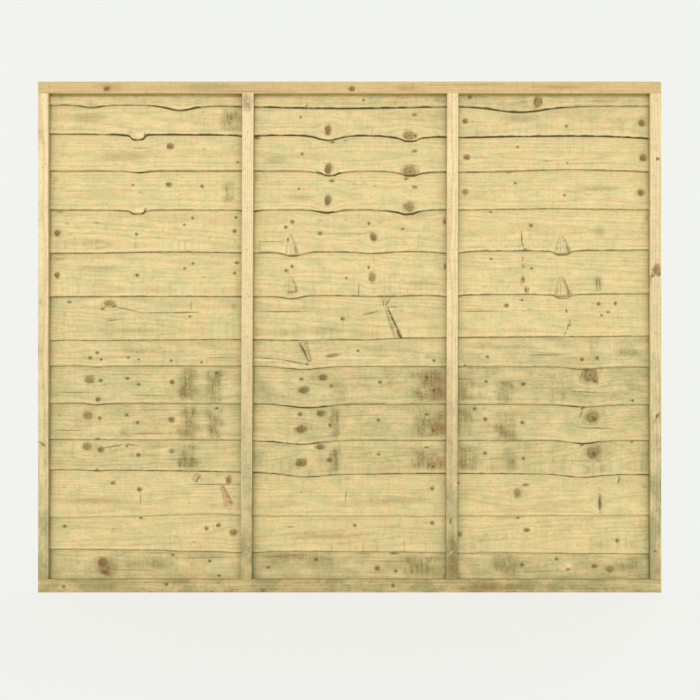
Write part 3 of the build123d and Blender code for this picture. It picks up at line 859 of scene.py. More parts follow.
def make_fan_group():
    """Lines that spread from a tip: a branch cut lengthways, or a split."""
    group, given, (across, up, middle), (depth, tint, soft), uneven = start_group("fans")
    taper = calc(group, "MULTIPLY_ADD", middle, 2.0, -3.0, clamp=True)
    gone = times(group, calc(group, "MULTIPLY_ADD", up, 0.5, 0.5, clamp=True), taper)
    half = calc(group, "POWER", calc(group, "SUBTRACT", 1.02, gone), 0.7)
    half = calc(group, "MAXIMUM", half, 0.05)
    wedge = calc(group, "DIVIDE", times(group, across, uneven), half)
    tall = ramp(group, calc(group, "ABSOLUTE", up), 1.06, 0.8)
    spokes = 0.0
    for place, width, strength in FAN_LINES:
        off = calc(group, "ABSOLUTE", calc(group, "SUBTRACT", wedge, place))
        line = times(group, ramp(group, off, times(group, soft, 2 * width), 0.0), strength)
        spokes = calc(group, "MAXIMUM", spokes, line)
    spokes = times(group, spokes, tall, ramp(group, given["Wobble"], 0.36, 0.56, 0.45, 1.0))
    inside = ramp(group, calc(group, "ABSOLUTE", wedge), 1.2, 0.8)
    over_foot = calc(group, "ABSOLUTE", calc(group, "SUBTRACT", up, FOOT_HEIGHT))
    foot = times(group, ramp(group, over_foot, 0.2, 0.0), inside, ramp(group, middle, 1.9, 1.98))
    dark = times(group, calc(group, "MAXIMUM", spokes, foot), depth)
    pale = times(group, inside, tall, times(group, depth, FAN_PALENESS))
    wood = blend(group, pale, given["Wood"], MARK_PALE)
    return end_group(group, blend(group, dark, wood, toned_dark(group, tint)))


fan_group = make_fan_group()
print("fan group:", len(fan_group.nodes), "nodes")

# %% [markdown]
# ## Patterns in the wood
#
# Nearly everything in timber is longer than it is wide, because it follows the fibres. So each
# pattern is one noise, stretched along the grain: a size in millimetres along the trunk, across
# it and in depth, then how much fine detail it has, how rough that is, and a shift that keeps two
# patterns from lining up. Only the saw's traces, `bands` and `torn`, run across the grain.

# %% Patterns
PATTERNS = {
    "broad": ((36, 22, 22), 4.0, 0.55, 0.0),
    "broad_two": ((46, 27, 27), 4.0, 0.55, 31.0),
    "blotch": ((70, 42, 42), 3.0, 0.5, 71.0),
    "fine": ((34, 1.9, 1.9), 3.0, 0.6, 0.0),
    "streaks": ((90, 4.6, 4.6), 4.0, 0.65, 11.0),
    "mottle": ((12, 7, 7), 4.0, 0.65, 23.0),
    "bands": ((7, 60, 60), 3.0, 0.5, 3.0),
    "wobble": ((9, 7, 7), 1.0, 0.5, 5.0),
    "warp": ((420, 80, 80), 2.0, 0.5, 17.0),
    "torn": ((6.5, 45, 45), 3.0, 0.5, 41.0),
    "dots": ((7.0, 3.6, 3.6), 3.0, 0.65, 53.0),
    "edge": ((38, 60, 60), 3.0, 0.6, 67.0),
}


def stretched_noise(tree, grain, size, detail, rough, shift):
    """Noise whose blobs measure size = (along, across, depth) in mm."""
    scaled = add(tree, "ShaderNodeVectorMath", {0: grain, 1: tuple(1 / mm for mm in size)},
                 operation="MULTIPLY").outputs[0]
    moved = add(tree, "ShaderNodeVectorMath", {0: scaled, 1: (shift, shift * 1.7, shift * 0.6)},
                operation="ADD").outputs[0]
    return add(tree, "ShaderNodeTexNoise",
               {"Vector": moved, "Scale": 1.0, "Detail": detail, "Roughness": rough}).outputs[0]


print(len(PATTERNS), "patterns, from", min(row[0][1] for row in PATTERNS.values()), "to",
      max(row[0][1] for row in PATTERNS.values()), "mm wide")

# %% [markdown]
# ## The timber's own colour
#
# First come patches of orange heartwood and of the green cast that the treatment left where it
# soaked in. Then the growth rings, which show as long lines on a face and as arcs on a sawn end,
# and over them the fine fibres, pale and dark streaks, and the saw's faint bands.

# %% Timber colour
RING_WIDTH = 5.5
RING_WARP = 18.0
# Pattern, the values at which its colour starts and is full, strength, colour
GRAIN_TONES = (
    ("fine", 0.48, 0.74, 0.2, STAIN_DARK),
    ("streaks", 0.54, 0.74, 0.28, STAIN_DARK),
    ("streaks", 0.48, 0.3, 0.25, PALE_WOOD),
    ("mottle", 0.52, 0.74, 0.3, STAIN_DARK),
    ("bands", 0.5, 0.74, 0.11, STAIN_DARK),
)


def growth_rings(tree, across, depth, warp):
    """0 in the pale spring wood of each ring, 1 in its dark summer wood."""
    radius = calc(tree, "MULTIPLY_ADD", warp, RING_WARP, length_of(tree, across, depth))
    turn = calc(tree, "FRACT", calc(tree, "DIVIDE", radius, RING_WIDTH))
    return times(tree, ramp(tree, turn, 0.35, 0.86), ramp(tree, turn, 1.0, 0.9))


def toned(tree, wood, noises, tones):
    """Each colour blended in where its pattern is strong."""
    for name, none, full, strength, colour in tones:
        share = times(tree, ramp(tree, noises[name], none, full), strength)
        wood = blend(tree, share, wood, colour)
    return wood


def timber_colour(tree, noises, cast, paleness, rings):
    orange, green, brown = cast
    wood = toned(tree, SAPWOOD, noises, (("broad", 0.36, 0.68, orange, HEART_ORANGE),
                                         ("broad_two", 0.36, 0.68, green, TREATED_GREEN)))
    wood = blend(tree, brown, wood, BROWN_WOOD)
    wood = blend(tree, paleness, wood, PALE_WOOD)
    wood = blend(tree, rings, wood, MARK_HEART)
    return toned(tree, wood, noises, GRAIN_TONES)


print(len(GRAIN_TONES), "tones over growth rings", RING_WIDTH, "mm wide")

# %% [markdown]
# ## What the years did, and the painted shade
#
# Weather multiplies the colour by a grey green, so that the grain under it stays visible. Dirt,
# and the painted shade in the corners beside the uprights, darken it through the same filter.
# Water stains are torn into short vertical dashes, because they stand on saw marks. Where a
# board's lower edge was the outside of the tree, a little dark bark is left. It is thickest where
# the edge swells round a branch, and a strip just above it is painted paler.

# %% Weather, stains, bark and painted shade
# How strongly dirt and the painted corner shade darken the wood
DIRT_AND_SHADE = 0.7
RUST_STRENGTH = 0.55
SWOLLEN_BARK = 4.5
# How much paler a strip just above each board's lower edge is painted
EDGE_PALENESS = 0.16


def weathered_and_shaded(tree, wood, noises, weather, dirt_and_shade):
    worn = times(tree, weather, ramp(tree, noises["blotch"], 0.28, 0.72, 0.5, 1.55),
                 ramp(tree, noises["mottle"], 0.35, 0.65, 0.85, 1.15), clamp=True)
    # The second share is dirt together with the painted shade beside the uprights
    for share in (worn, times(tree, dirt_and_shade, DIRT_AND_SHADE, clamp=True)):
        wood = blend(tree, share, wood, WEATHERING_AND_SHADE, mode="MULTIPLY")
    return wood


def stained(tree, wood, noises, stain, blush):
    torn = ramp(tree, noises["torn"], 0.36, 0.66, 0.5, 1.15)
    dots = ramp(tree, noises["dots"], 0.4, 0.7, 0.6, 1.45)
    patches = ramp(tree, noises["blotch"], 0.32, 0.62, 0.5, 1.3)
    wood = blend(tree, times(tree, stain, torn, dots, patches, clamp=True), wood, STAIN_DARK)
    return blend(tree, times(tree, blush, RUST_STRENGTH, dots, clamp=True), wood, RUST)


def barked(tree, wood, noises, wane, bark_share):
    """wane is the height above the board's lower edge in mm."""
    extra = above_zero(tree, calc(tree, "SUBTRACT", bark_share, 1.0))
    extra = times(tree, extra, SWOLLEN_BARK)
    width = calc(tree, "ADD", ramp(tree, noises["edge"], 0.42, 0.68, 0.2, 3.4), extra)
    bark = times(tree, ramp(tree, wane, width, 0.0),
                 ramp(tree, noises["edge"], 0.3, 0.6, 0.4, 0.95), bark_share, clamp=True)
    wood = blend(tree, bark, wood, BARK)
    # A paler strip from about 3 to 11 mm above the lower edge
    pale_strip = times(tree, ramp(tree, wane, 3.0, 5.0), ramp(tree, wane, 11.0, 6.0), EDGE_PALENESS)
    return blend(tree, pale_strip, wood, PALE_WOOD)


def marked(tree, wood, wobble):
    """Every layer of knots, lines and fans over the wood."""
    for layer in range(LAYER_COUNT):
        group = fan_group if layer == FAN_LAYER else mark_group
        inputs = {"Wood": wood, "Offset": attribute(tree, f"offset_{layer}"),
                  "Look": attribute(tree, f"look_{layer}"), "Wobble": wobble}
        wood = add(tree, "ShaderNodeGroup", inputs, node_tree=group).outputs["Wood"]
    return wood


print("bark grows", SWOLLEN_BARK, "mm wider where a board swells fully")

# %% [markdown]
# ## The wood material
#
# The layers come together in the order in which they came to the real timber. A circular saw left
# fine lines across the grain. They show as relief only, with the summer wood and the fibres, which
# stand a little proud. Rough softwood is dull, so the shine is weak and uneven.

# %% Build the wood materials
SAW_TURNS = 1.35
SAW_WANDER = 9.0
RELIEF_HEIGHT = 0.35 * MM


def make_wood(name, cast, ring_strength, saw_strength):
    """Softwood. cast = how much orange, green and brown is in this timber."""
    material = bpy.data.materials.new(name)
    tree = emptied(material)
    grain = attribute(tree, "grain")
    along, across, depth = parts(tree, grain)
    weather, wane, pale_or_bark = parts(tree, attribute(tree, "state"))
    stain, dirt_and_shade, blush = parts(tree, attribute(tree, "casts"))
    noises = {pattern: stretched_noise(tree, grain, *row) for pattern, row in PATTERNS.items()}
    fine, warp = noises["fine"], noises["warp"]

    latewood = growth_rings(tree, across, depth, warp)
    wood = timber_colour(tree, noises, cast, above_zero(tree, pale_or_bark),
                         times(tree, latewood, ring_strength))
    wood = weathered_and_shaded(tree, wood, noises, weather, dirt_and_shade)
    wood = stained(tree, wood, noises, stain, blush)
    wood = barked(tree, wood, noises, wane, below_zero(tree, pale_or_bark))
    wood = marked(tree, wood, noises["wobble"])

    saw = calc(tree, "MULTIPLY_ADD", along, SAW_TURNS, times(tree, warp, SAW_WANDER))
    saw = times(tree, calc(tree, "SINE", saw), saw_strength)
    height = calc(tree, "MULTIPLY_ADD", latewood, 0.5,
                  calc(tree, "MULTIPLY_ADD", fine, 1.2, saw))
    bump = add(tree, "ShaderNodeBump",
               {"Strength": 0.6, "Distance": RELIEF_HEIGHT, "Height": height})
    shader = add(tree, "ShaderNodeBsdfPrincipled",
                 {"Base Color": wood, "Roughness": ramp(tree, fine, 0.3, 0.7, 0.86, 0.7),
                  "Normal": bump.outputs[0], "Specular IOR Level": 0.25})
    add(tree, "ShaderNodeOutputMaterial", {"Surface": shader.outputs[0]})
    return material


board_wood = make_wood("treated board", (0.6, 0.8, 0.0), 0.18, 0.25)
upright_wood = make_wood("treated upright", (0.7, 0.35, 0.0), 0.26, 0.2)
rail_wood = make_wood("treated rail", (0.6, 0.3, 0.45), 0.2, 0.2)
print("board wood:", len(board_wood.node_tree.nodes), "nodes")

# %% [markdown]
# ## From slab to board
#
# Each corner of the unit slab is moved to where the CAD board has it. The lower edge
# is measured column by column, rounded like the bark side of a log, and given a few tenths of a
# millimetre of roughness. Roughness only ever goes inwards, so a board never grows out of
# the space the construction gives it.

# %% Shape one lap board
CELL = 5.0
DIAGONAL = 1.42
CELL_REACH = CELL * DIAGONAL
EDGE_ROUGHNESS = 0.7 * MM
FACE_ROUGHNESS = 0.25 * MM
WANE_ROUNDING = 1.4


def board_mesh(node):
    """A board's shaped slab, and for each column the height of its lower edge."""
    tree = tree_of(node)
    low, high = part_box(node)
    plane, thickness = face_plane(tree, low, high)
    columns = round((high[0] - low[0]) / MM / CELL)
    rows = round((high[2] - low[2]) / MM / CELL)
    outline = []
    for column in range(columns + 1):
        x = low[0] + (high[0] - low[0]) * column / columns
        outline.append((x, *edge_heights(tree, plane, thickness, low, high, x)))
    slab = unit_slab(columns, rows)
    for corner in slab.verts:
        along, depth, up = corner.co
        x, front, back, top = outline[round(along * columns)]
        rounded = 1 - (1 - depth) ** WANE_ROUNDING
        chips = EDGE_ROUGHNESS * max(0.0, noise.noise((x * 90, depth * 2, 7.7)))
        bottom = front + (back - front) * rounded + chips
        z = bottom + (top - bottom) * up
        dent = FACE_ROUGHNESS * (0.5 + 0.5 * noise.noise((x * 9, z * 24, low[2] * 5)))
        inset = dent * (1 - 2 * depth)
        corner.co = (x, plane[0] + plane[1] * x + plane[2] * z + depth * thickness + inset, z)
    soften(slab, 0.4 * MM)
    return slab, outline, plane


slab, outline, plane = board_mesh("board_06")
print("board 6:", len(slab.verts), "corners,", len(slab.faces), "faces")
slab.free()

# %% [markdown]
# ## Each board's history
#
# The upper boards were sawn from clean timber. Boards 9 to 11 came from one log that is
# darker and greener, and the lowest board has soaked up splashes from the ground. Each board has a
# share of weathering at its left and right ends, a share of bark left on its lower edge, which is
# thickest where the edge swells round a branch, and its own place in the log. Beside the uprights
# the boards carry painted shade, darkest in the corner and fading within about a centimetre.

# %% From the top board down: weathering at the left, at the right, and bark
HISTORY = [(0.19, 0.36, 0.85), (0.05, 0.2, 0.8), (0.05, 0.12, 0.85), (0.05, 0.1, 0.85),
           (0.06, 0.08, 0.45), (0.06, 0.12, 0.45), (0.16, 0.12, 0.4), (0.2, 0.36, 0.5),
           (0.3, 0.46, 0.7), (0.34, 0.38, 0.7), (0.3, 0.4, 0.55), (0.14, 0.2, 0.25),
           (0.16, 0.2, 0.3), (0.36, 0.46, 0.4)]
LOG_DEPTH = 62.0
LOG_SIDE = 38.0
SIDE_SWING = 14
DEPTH_SWING = 9
BOARD_STEP = 2113.0
WANE_FOLLOW = 32.0
SWELL_FULL = 7.0
BARK_PLAIN = 0.65
BARK_SWOLLEN = 1.6
UPRIGHTS = ("left_stile", "left_mid_batten", "right_mid_batten", "right_stile")
# Painted shade beside the uprights: its darkness in the corner, and how far it reaches in mm
CORNER_SHADE = 1.1
CORNER_SHADE_REACH = 11.0
print("bark left on boards 1 to 14:", [row[2] for row in HISTORY])

# %% [markdown]
# ## Turning a slab into a piece
#
# Every piece rides on the panel's one rigid body and replaces one CAD node. `paint` stores the
# numbers that the wood material reads: the place in the grain, the state of the surface, the broad
# stains with the painted corner shade, and the layers of marks.

# %% Finish and paint a piece
SMOOTH_BELOW = math.radians(35)
# The most that dirt and the painted corner shade may add up to
MOST_DIRT_AND_SHADE = 1.3


def finish_piece(slab, name, node, slot, *materials):
    """Turn a shaped slab into the piece that stands for a CAD node."""
    mesh = bpy.data.meshes.new(name)
    slab.to_mesh(mesh)
    slab.free()
    piece = bpy.data.objects.new(name, mesh)
    bpy.context.scene.collection.objects.link(piece)
    for material in materials:
        mesh.materials.append(material)
    mesh.shade_smooth()
    mesh.set_sharp_from_angle(angle=SMOOTH_BELOW)
    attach(piece, "root")
    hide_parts(node)
    return piece


def points_of(mesh):
    flat = np.empty(len(mesh.vertices) * 3, np.float32)
    mesh.vertices.foreach_get("co", flat)
    return flat.reshape(-1, 3).astype(float)


def paint(mesh, grain, state, marks, cell, corner_shade=0.0):
    """Write everything that the wood material reads."""
    points = points_of(mesh)
    places, looks, casts, left_over = lay_marks(points, marks, cell)
    # The dirt channel also takes the painted shade beside the uprights
    casts[:, 1] = np.minimum(casts[:, 1] + corner_shade, MOST_DIRT_AND_SHADE)
    set_attribute(mesh, "grain", grain)
    set_attribute(mesh, "state", state)
    set_attribute(mesh, "casts", casts)
    for layer in range(LAYER_COUNT):
        set_attribute(mesh, f"offset_{layer}", places[layer])
        set_attribute(mesh, f"look_{layer}", looks[layer])
    return left_over


print("each piece carries", 3 + 2 * LAYER_COUNT, "vectors at every corner")

# %% [markdown]
# ## The fourteen boards
#
# Grain follows the waney edge near it and runs straight further up, as it did in the log. The
# height above the lower edge, `wane`, places the bark. Neighbouring boards take their grain from
# different depths of the log, so no two show the same lines.

# %% Make the boards


def painted_corner_shade(x):
    """Painted shade: how close each place is to an upright, as darkening in the corner beside it.
    """
    close = np.zeros(len(x))
    for upright in UPRIGHTS:
        low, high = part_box(upright)
        away = np.maximum(np.maximum(low[0] - x, x - high[0]), 0) / MM
        close = np.maximum(close, np.exp(-away / CORNER_SHADE_REACH))
    return CORNER_SHADE * close


def make_board(number):
    """One lap board with grain, bark, dirt, painted shade and marks; returns its marks without
    room.
    """
    node = f"board_{number:02d}"
    slab, outline, plane = board_mesh(node)
    piece = finish_piece(slab, f"{node}_waney", node, "lap_boards", board_wood)
    points = points_of(piece.data)
    x, y, z = points.T
    places, front_edge, back_edge = np.array(outline)[:, :3].T
    lower = np.interp(x, places, back_edge)
    straight = np.interp(x, (places[0], places[-1]), (back_edge[0], back_edge[-1]))
    over_edge = np.maximum(z - lower, 0) / MM
    across = (z - straight) / MM + (straight - lower) / MM * np.exp(-over_edge / WANE_FOLLOW)
    marks = marks_on(node)
    across = bend_round_knots(points, across, marks)
    behind = (y - (plane[0] + plane[1] * x + plane[2] * z)) / MM
    side = LOG_SIDE + SIDE_SWING * math.sin(number * 2.4)
    grain = np.stack((x / MM + number * BOARD_STEP, across - side - number % 3 * 9,
                      behind - LOG_DEPTH + DEPTH_SWING * math.cos(number * 1.9)), axis=1)
    left, right, bark = HISTORY[number - 1]
    share = (x - cad_low[0]) / (cad_high[0] - cad_low[0])
    weather = left + (right - left) * share
    wane = np.maximum(z - np.interp(x, places, front_edge), 0) / MM
    swell = np.clip((straight - lower) / MM / SWELL_FULL, 0, 1)
    bark = bark * (BARK_PLAIN + (BARK_SWOLLEN - BARK_PLAIN) * swell)
    state = np.stack((weather, wane, -bark), axis=1)
    # The last argument is the painted shade beside the uprights
    return paint(piece.data, grain, state, marks, CELL_REACH, painted_corner_shade(x))


for number in range(1, len(HISTORY) + 1):
    print("board", number, "marks without room:", make_board(number))

# %% [markdown]
# ## Battens
#
# Rails, stiles and battens are plain sawn bars, so their CAD boxes give their places. The two
# front middle battens stand slightly out of plumb, which two sideways rays at the foot and
# two at the top show. They start from the same unit slab, and the grain runs along each bar.

# %% Shape one batten
BATTEN_CELL = 7.0
FEWEST_CELLS = 5
BATTEN_ARRIS = 0.8 * MM
LEVEL_MARGIN = 3 * MM


def side_places(tree, low, high, z):
    """The left and right side of an upright at one height."""
    y = (low[1] + high[1]) / 2
    left = hit(tree, (low[0] - RAY_START, y, z), (1, 0, 0)).x
    right = hit(tree, (high[0] + RAY_START, y, z), (-1, 0, 0)).x
    return left, right


def batten_mesh(node, upright):
    tree = tree_of(node)
    low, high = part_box(node)
    foot = side_places(tree, low, high, low[2] + LEVEL_MARGIN)
    top = side_places(tree, low, high, high[2] - LEVEL_MARGIN)
    width, height = (high[0] - low[0]) / MM, (high[2] - low[2]) / MM
    slab = unit_slab(*(max(FEWEST_CELLS, round(size / BATTEN_CELL)) for size in (width, height)))
    for corner in slab.verts:
        along, depth, up = corner.co
        left = foot[0] + (top[0] - foot[0]) * up
        right = foot[1] + (top[1] - foot[1]) * up
        x, y = left + (right - left) * along, low[1] + (high[1] - low[1]) * depth
        z = low[2] + (high[2] - low[2]) * up
        length_place, side_place = (z, x) if upright else (x, z)
        worn = noise.noise((length_place * 12, side_place * 60, low[0] * 9))
        wear = FACE_ROUGHNESS * (0.5 + 0.5 * worn)
        corner.co = (x + wear * (1 - 2 * along), y + wear * (1 - 2 * depth), z)
    soften(slab, BATTEN_ARRIS)
    return slab


slab = batten_mesh("left_mid_batten", True)
print("left middle batten:", len(slab.verts), "corners,", len(slab.faces), "faces")
slab.free()

# %% [markdown]
# ## Each batten's timber
#
# The uprights are pale and a little pink at the top and darker and greener near the ground,
# where they stay damp. The top rail is a browner bar. Each has its share of weathering at the
# foot (or left end) and at the top (or right end), and a share of paleness at the top. A bar's
# heart is where the pith of the tree lay, in millimetres beside and behind its middle.

# %% Make the battens
NO_WANE = 99.0
BAR_START = 400
BAR_STEP = 1709.0
BATTENS = {
    "top_rail": ("top_rail", rail_wood, False, 0.12, 0.12, 0.0),
    "bottom_rail": ("bottom_rail", upright_wood, False, 0.74, 0.74, 0.0),
    "left_stile": ("uprights", upright_wood, True, 0.85, 0.0, 1.0),
    "right_stile": ("uprights", upright_wood, True, 1.15, 0.1, 0.8),
    "left_mid_batten": ("uprights", upright_wood, True, 0.9, 0.0, 0.9),
    "right_mid_batten": ("uprights", upright_wood, True, 0.95, 0.0, 0.85),
    "rear_left_batten": ("rear_battens", upright_wood, True, 0.5, 0.1, 0.1),
    "rear_left_mid_batten": ("rear_battens", upright_wood, True, 0.55, 0.1, 0.2),
    "rear_right_mid_batten": ("rear_battens", upright_wood, True, 0.6, 0.15, 0.1),
    "rear_right_batten": ("rear_battens", upright_wood, True, 0.5, 0.1, 0.2),
}
HEARTS = [(21, 30), (-16, 26), (12, -34), (-24, -20), (30, 12), (9, 41), (-35, 16), (18, -22),
          (-12, 33), (26, -15)]


def make_batten(order, node):
    """One bar with its grain and marks; returns its marks without room."""
    slot, material, upright, foot_weather, top_weather, top_pale = BATTENS[node]
    piece = finish_piece(batten_mesh(node, upright), f"{node}_sawn", node, slot, material)
    points = points_of(piece.data)
    low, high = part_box(node)
    x, y, z = points.T
    centre = [(low[axis] + high[axis]) / 2 for axis in range(3)]
    up = (z - low[2]) / (high[2] - low[2]) if upright else (x - low[0]) / (high[0] - low[0])
    length, side = (z, x - centre[0]) if upright else (x, z - centre[2])
    marks = marks_on(node)
    side = side / MM
    if not upright:
        side = bend_round_knots(points, side, marks)
    heart = HEARTS[order]
    grain = np.stack((length / MM + order * BAR_STEP + BAR_START, side + heart[0],
                      (y - centre[1]) / MM + heart[1]), axis=1)
    weather = top_weather + (foot_weather - top_weather) * (1 - up) ** 2.5
    state = np.stack((weather, np.full(len(x), NO_WANE), top_pale * up ** 0.45), axis=1)
    return paint(piece.data, grain, state, marks, BATTEN_CELL * DIAGONAL)


for order, node in enumerate(BATTENS):
    print(node, "marks without room:", make_batten(order, node))

# %% [markdown]
# ## Nails
#
# Galvanised round wire nails hold each lap. The CAD nails are simple, with a square shank and an
# eight sided head, because there are sixty. Their places are read from the CAD heads, and a round,
# slightly domed head on a round, pointed shank replaces each.

# %% Find the nails in the frame
HEAD_RADIUS = 2.8 * MM
SHANK_RADIUS = 1.15 * MM


def nail_places(node):
    """The middle of each nail's head, from the corners that lie in the front plane."""
    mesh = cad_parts[node].data
    front = min(vertex.co.y for vertex in mesh.vertices)
    centres = []
    for vertex in mesh.vertices:
        if vertex.co.y > front + 0.1 * MM:
            continue
        for group in centres:
            if (group[0] - vertex.co).length < 4 * HEAD_RADIUS:
                group.append(vertex.co.copy())
                break
        else:
            centres.append([vertex.co.copy()])
    places = []
    for group in centres:
        wide = [min(co[axis] for co in group) + max(co[axis] for co in group) for axis in (0, 2)]
        places.append((wide[0] / 2, front, wide[1] / 2))
    return places


lap_places, rail_places = nail_places("lap_nails"), nail_places("rail_nails")
print(len(lap_places), "lap nails and", len(rail_places), "rail nails")

# %% [markdown]
# ## Galvanised steel
#
# Zinc on a nail is grey and slightly mottled, with a soft shine. The few heads that were struck
# clean are bright, and the rest are filmed over with the same treatment as the wood.

# %% Nail materials


def make_zinc(name, tone, metal):
    """Mottled zinc. metal = how much of it still shines as bare metal."""
    material = bpy.data.materials.new(name)
    tree = emptied(material)
    place = add(tree, "ShaderNodeTexCoord").outputs["Object"]
    spangle = add(tree, "ShaderNodeTexNoise",
                  {"Vector": place, "Scale": 900.0, "Detail": 3.0}).outputs[0]
    dull = tuple(value * 0.72 for value in tone[:3]) + (1.0,)
    colour = blend(tree, ramp(tree, spangle, 0.35, 0.65), dull, tone)
    bump = add(tree, "ShaderNodeBump", {"Strength": 0.5, "Distance": 0.1 * MM, "Height": spangle})
    shader = add(tree, "ShaderNodeBsdfPrincipled",
                 {"Base Color": colour, "Roughness": ramp(tree, spangle, 0.3, 0.7, 0.42, 0.62),
                  "Metallic": metal, "Normal": bump.outputs[0]})
    add(tree, "ShaderNodeOutputMaterial", {"Surface": shader.outputs[0]})
    return material


bright_zinc = make_zinc("bright zinc", daylight(232, 216, 178), 0.4)
filmed_zinc = make_zinc("filmed zinc", daylight(214, 194, 142), 0.2)
print("nail materials:", bright_zinc.name, "and", filmed_zinc.name)

# %% [markdown]
# ## One nail, many places
#
# A cone with equal ends is a cylinder, so `create_cone` makes the head, the shank and the
# point. Bevelling the rim of the head gives the rounded edge that a hammer leaves.

# %% Make the nails
BRIGHT_NAILS = [(-301, 1441), (-301, 1247), (-300, 568), (-304, 359), (-304, 230), (-304, 124),
                (299, 562), (299, 117)]
NAIL_LENGTH = 42 * MM
POINT_LENGTH = 3 * MM
POINT_RADIUS = 0.1 * MM
HEAD_DEPTH = 0.9 * MM
BRIGHT_WITHIN = 16
FACE_BACK = Matrix.Rotation(math.radians(-90), 4, "X")


def add_cone(nails, place, start, length, front_radius, back_radius, segments):
    """A cone along +Y that begins start behind the nail's front; returns its corners."""
    x, y, z = place
    middle = Matrix.Translation((x, y + start + length / 2, z)) @ FACE_BACK
    return bmesh.ops.create_cone(nails, cap_ends=True, segments=segments, radius1=front_radius,
                                 radius2=back_radius, depth=length, matrix=middle)["verts"]


def add_nail(nails, place):
    """A nail driven along +Y, its head flush with the front."""
    head = add_cone(nails, place, 0.05 * MM, HEAD_DEPTH, HEAD_RADIUS, HEAD_RADIUS, 16)
    rim = [edge for edge in {edge for corner in head for edge in corner.link_edges}
           if all(corner.co.y < place[1] + HEAD_DEPTH / 2 for corner in edge.verts)]
    bmesh.ops.bevel(nails, geom=rim, offset=0.3 * MM, segments=2, profile=0.5, affect="EDGES",
                    material=-1)
    shank = NAIL_LENGTH - POINT_LENGTH - HEAD_DEPTH
    add_cone(nails, place, HEAD_DEPTH, shank, SHANK_RADIUS, SHANK_RADIUS, 10)
    add_cone(nails, place, HEAD_DEPTH + shank, POINT_LENGTH, SHANK_RADIUS, POINT_RADIUS, 10)


def is_bright(place):
    return any(math.hypot(place[0] / MM - x, place[2] / MM - z) < BRIGHT_WITHIN
               for x, z in BRIGHT_NAILS)


def make_nails(node, places):
    """One piece for all nails of a node; returns how many heads are bright."""
    nails = bmesh.new()
    for place in places:
        before = len(nails.faces)
        add_nail(nails, place)
        nails.faces.ensure_lookup_table()
        for face in nails.faces[before:]:
            face.material_index = int(is_bright(place))
    finish_piece(nails, f"{node}_round", node, "nails", filmed_zinc, bright_zinc)
    return sum(is_bright(place) for place in places)


print("bright heads:", make_nails("lap_nails", lap_places),
      "on laps and", make_nails("rail_nails", rail_places), "on rails")

# %% [markdown]
# ## Camera
#
# The panel was photographed square on from a few metres away, so its sides stay parallel. The
# camera stands level at about half the panel's height, and the lens is chosen so that the panel
# fills the frame as it does in the photograph.

# %% Camera
CAMERA_BACK = 3.4
CAMERA_ACROSS = 0.0012
CAMERA_HEIGHT = 0.7119
LENS = 59.57
camera_data = bpy.data.cameras.new("camera")
camera_data.lens = LENS
camera_data.sensor_width = 36
camera = bpy.data.objects.new("camera", camera_data)
camera.location = (CAMERA_ACROSS, float(cad_low[1]) - CAMERA_BACK, CAMERA_HEIGHT)
camera.rotation_euler = (math.radians(90), 0, 0)
bpy.context.scene.collection.objects.link(camera)
bpy.context.scene.camera = camera
print("camera at", [round(value, 3) for value in camera.location])

# %% [markdown]
# ## Floor, sky and lamps
#
# The panel stands on a pale floor in soft daylight. The sky gives about half of the light, and
# a wide, soft sun from the upper left gives the rest, which puts a thin shadow under each lap and
# to the right of each upright. For an evenly lit diffuse surface a sun of strength pi, square on,
# shows a colour just as it was written, so each lamp's share of that is written here. A dim sun
# from behind keeps the back readable. The background colour is shown to the camera and to shiny
# surfaces only, and the floor fades into it while it keeps the panel's shadow.

# %% Floor and light
BACKGROUND = daylight(242, 243, 238)
SKY_SHARE = 0.53
SUN_SHARE = 0.44
REAR_SHARE = 0.42
scene = bpy.context.scene
scene.view_settings.view_transform = "Standard"


def background_rays(tree):
    """1 for rays that come straight from the camera or off a shiny or clear surface."""
    path = add(tree, "ShaderNodeLightPath").outputs
    seen = calc(tree, "MAXIMUM", path["Is Camera Ray"], path["Is Glossy Ray"])
    return calc(tree, "MAXIMUM", seen, path["Is Transmission Ray"]), path["Is Camera Ray"]


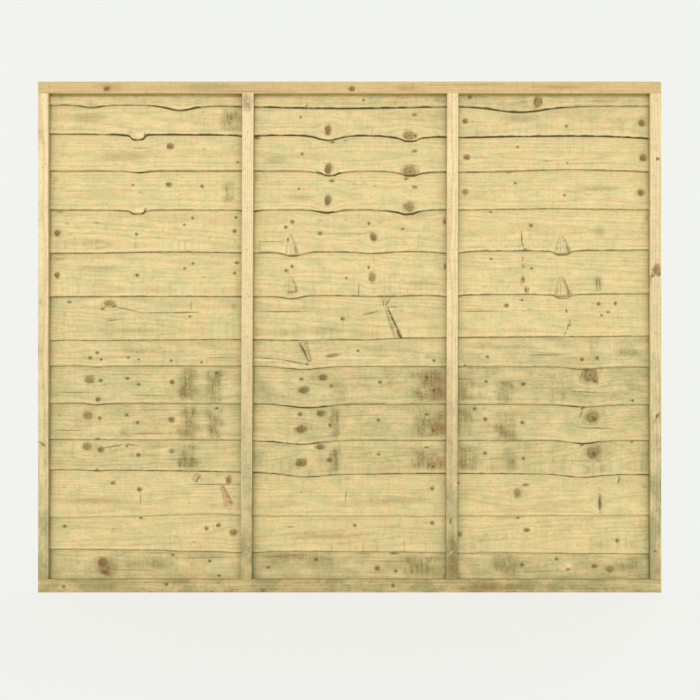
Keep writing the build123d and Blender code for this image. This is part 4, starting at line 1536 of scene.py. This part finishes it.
def make_world():
    world = bpy.data.worlds.new("soft sky")
    scene.world = world
    tree = emptied(world)
    seen = background_rays(tree)[0]
    sky = add(tree, "ShaderNodeBackground", {"Color": (1, 1, 1, 1), "Strength": SKY_SHARE})
    shown = add(tree, "ShaderNodeBackground", {"Color": BACKGROUND, "Strength": 1.0})
    both = add(tree, "ShaderNodeMixShader", {0: seen, 1: sky.outputs[0], 2: shown.outputs[0]})
    add(tree, "ShaderNodeOutputWorld", {"Surface": both.outputs[0]})


def make_floor():
    ground = bmesh.new()
    bmesh.ops.create_circle(ground, cap_ends=True, segments=64, radius=14.0)
    mesh = bpy.data.meshes.new("floor")
    ground.to_mesh(mesh)
    ground.free()
    floor = bpy.data.objects.new("floor", mesh)
    scene.collection.objects.link(floor)
    material = bpy.data.materials.new("pale floor")
    tree = emptied(material)
    place = add(tree, "ShaderNodeTexCoord").outputs["Object"]
    away = add(tree, "ShaderNodeVectorMath", {0: place}, operation="LENGTH").outputs["Value"]
    camera_ray = background_rays(tree)[1]
    share = calc(tree, "MULTIPLY", camera_ray, ramp(tree, away, 0.6, 1.7, 0.9, 1.0))
    matt = add(tree, "ShaderNodeBsdfDiffuse", {"Color": BACKGROUND})
    shown = add(tree, "ShaderNodeEmission", {"Color": BACKGROUND, "Strength": 1.0})
    both = add(tree, "ShaderNodeMixShader", {0: share, 1: matt.outputs[0], 2: shown.outputs[0]})
    add(tree, "ShaderNodeOutputMaterial", {"Surface": both.outputs[0]})
    mesh.materials.append(material)


def add_sun(name, share, left, up, width, from_behind=False):
    """A sun that gives its share of a plain light level to a surface facing it square on."""
    data = bpy.data.lights.new(name, "SUN")
    facing = math.cos(math.radians(left)) * math.cos(math.radians(up))
    data.energy = share * math.pi / facing
    data.angle = math.radians(width)
    lamp = bpy.data.objects.new(name, data)
    heading = math.radians(180 + left if from_behind else -left)
    lamp.rotation_euler = (math.radians(90 - up), 0, heading)
    scene.collection.objects.link(lamp)


make_world()
make_floor()
add_sun("sun", SUN_SHARE, left=5, up=15, width=28)
add_sun("rear sun", REAR_SHARE, left=-24, up=26, width=20, from_behind=True)
print("light shares:", SKY_SHARE, SUN_SHARE, REAR_SHARE)
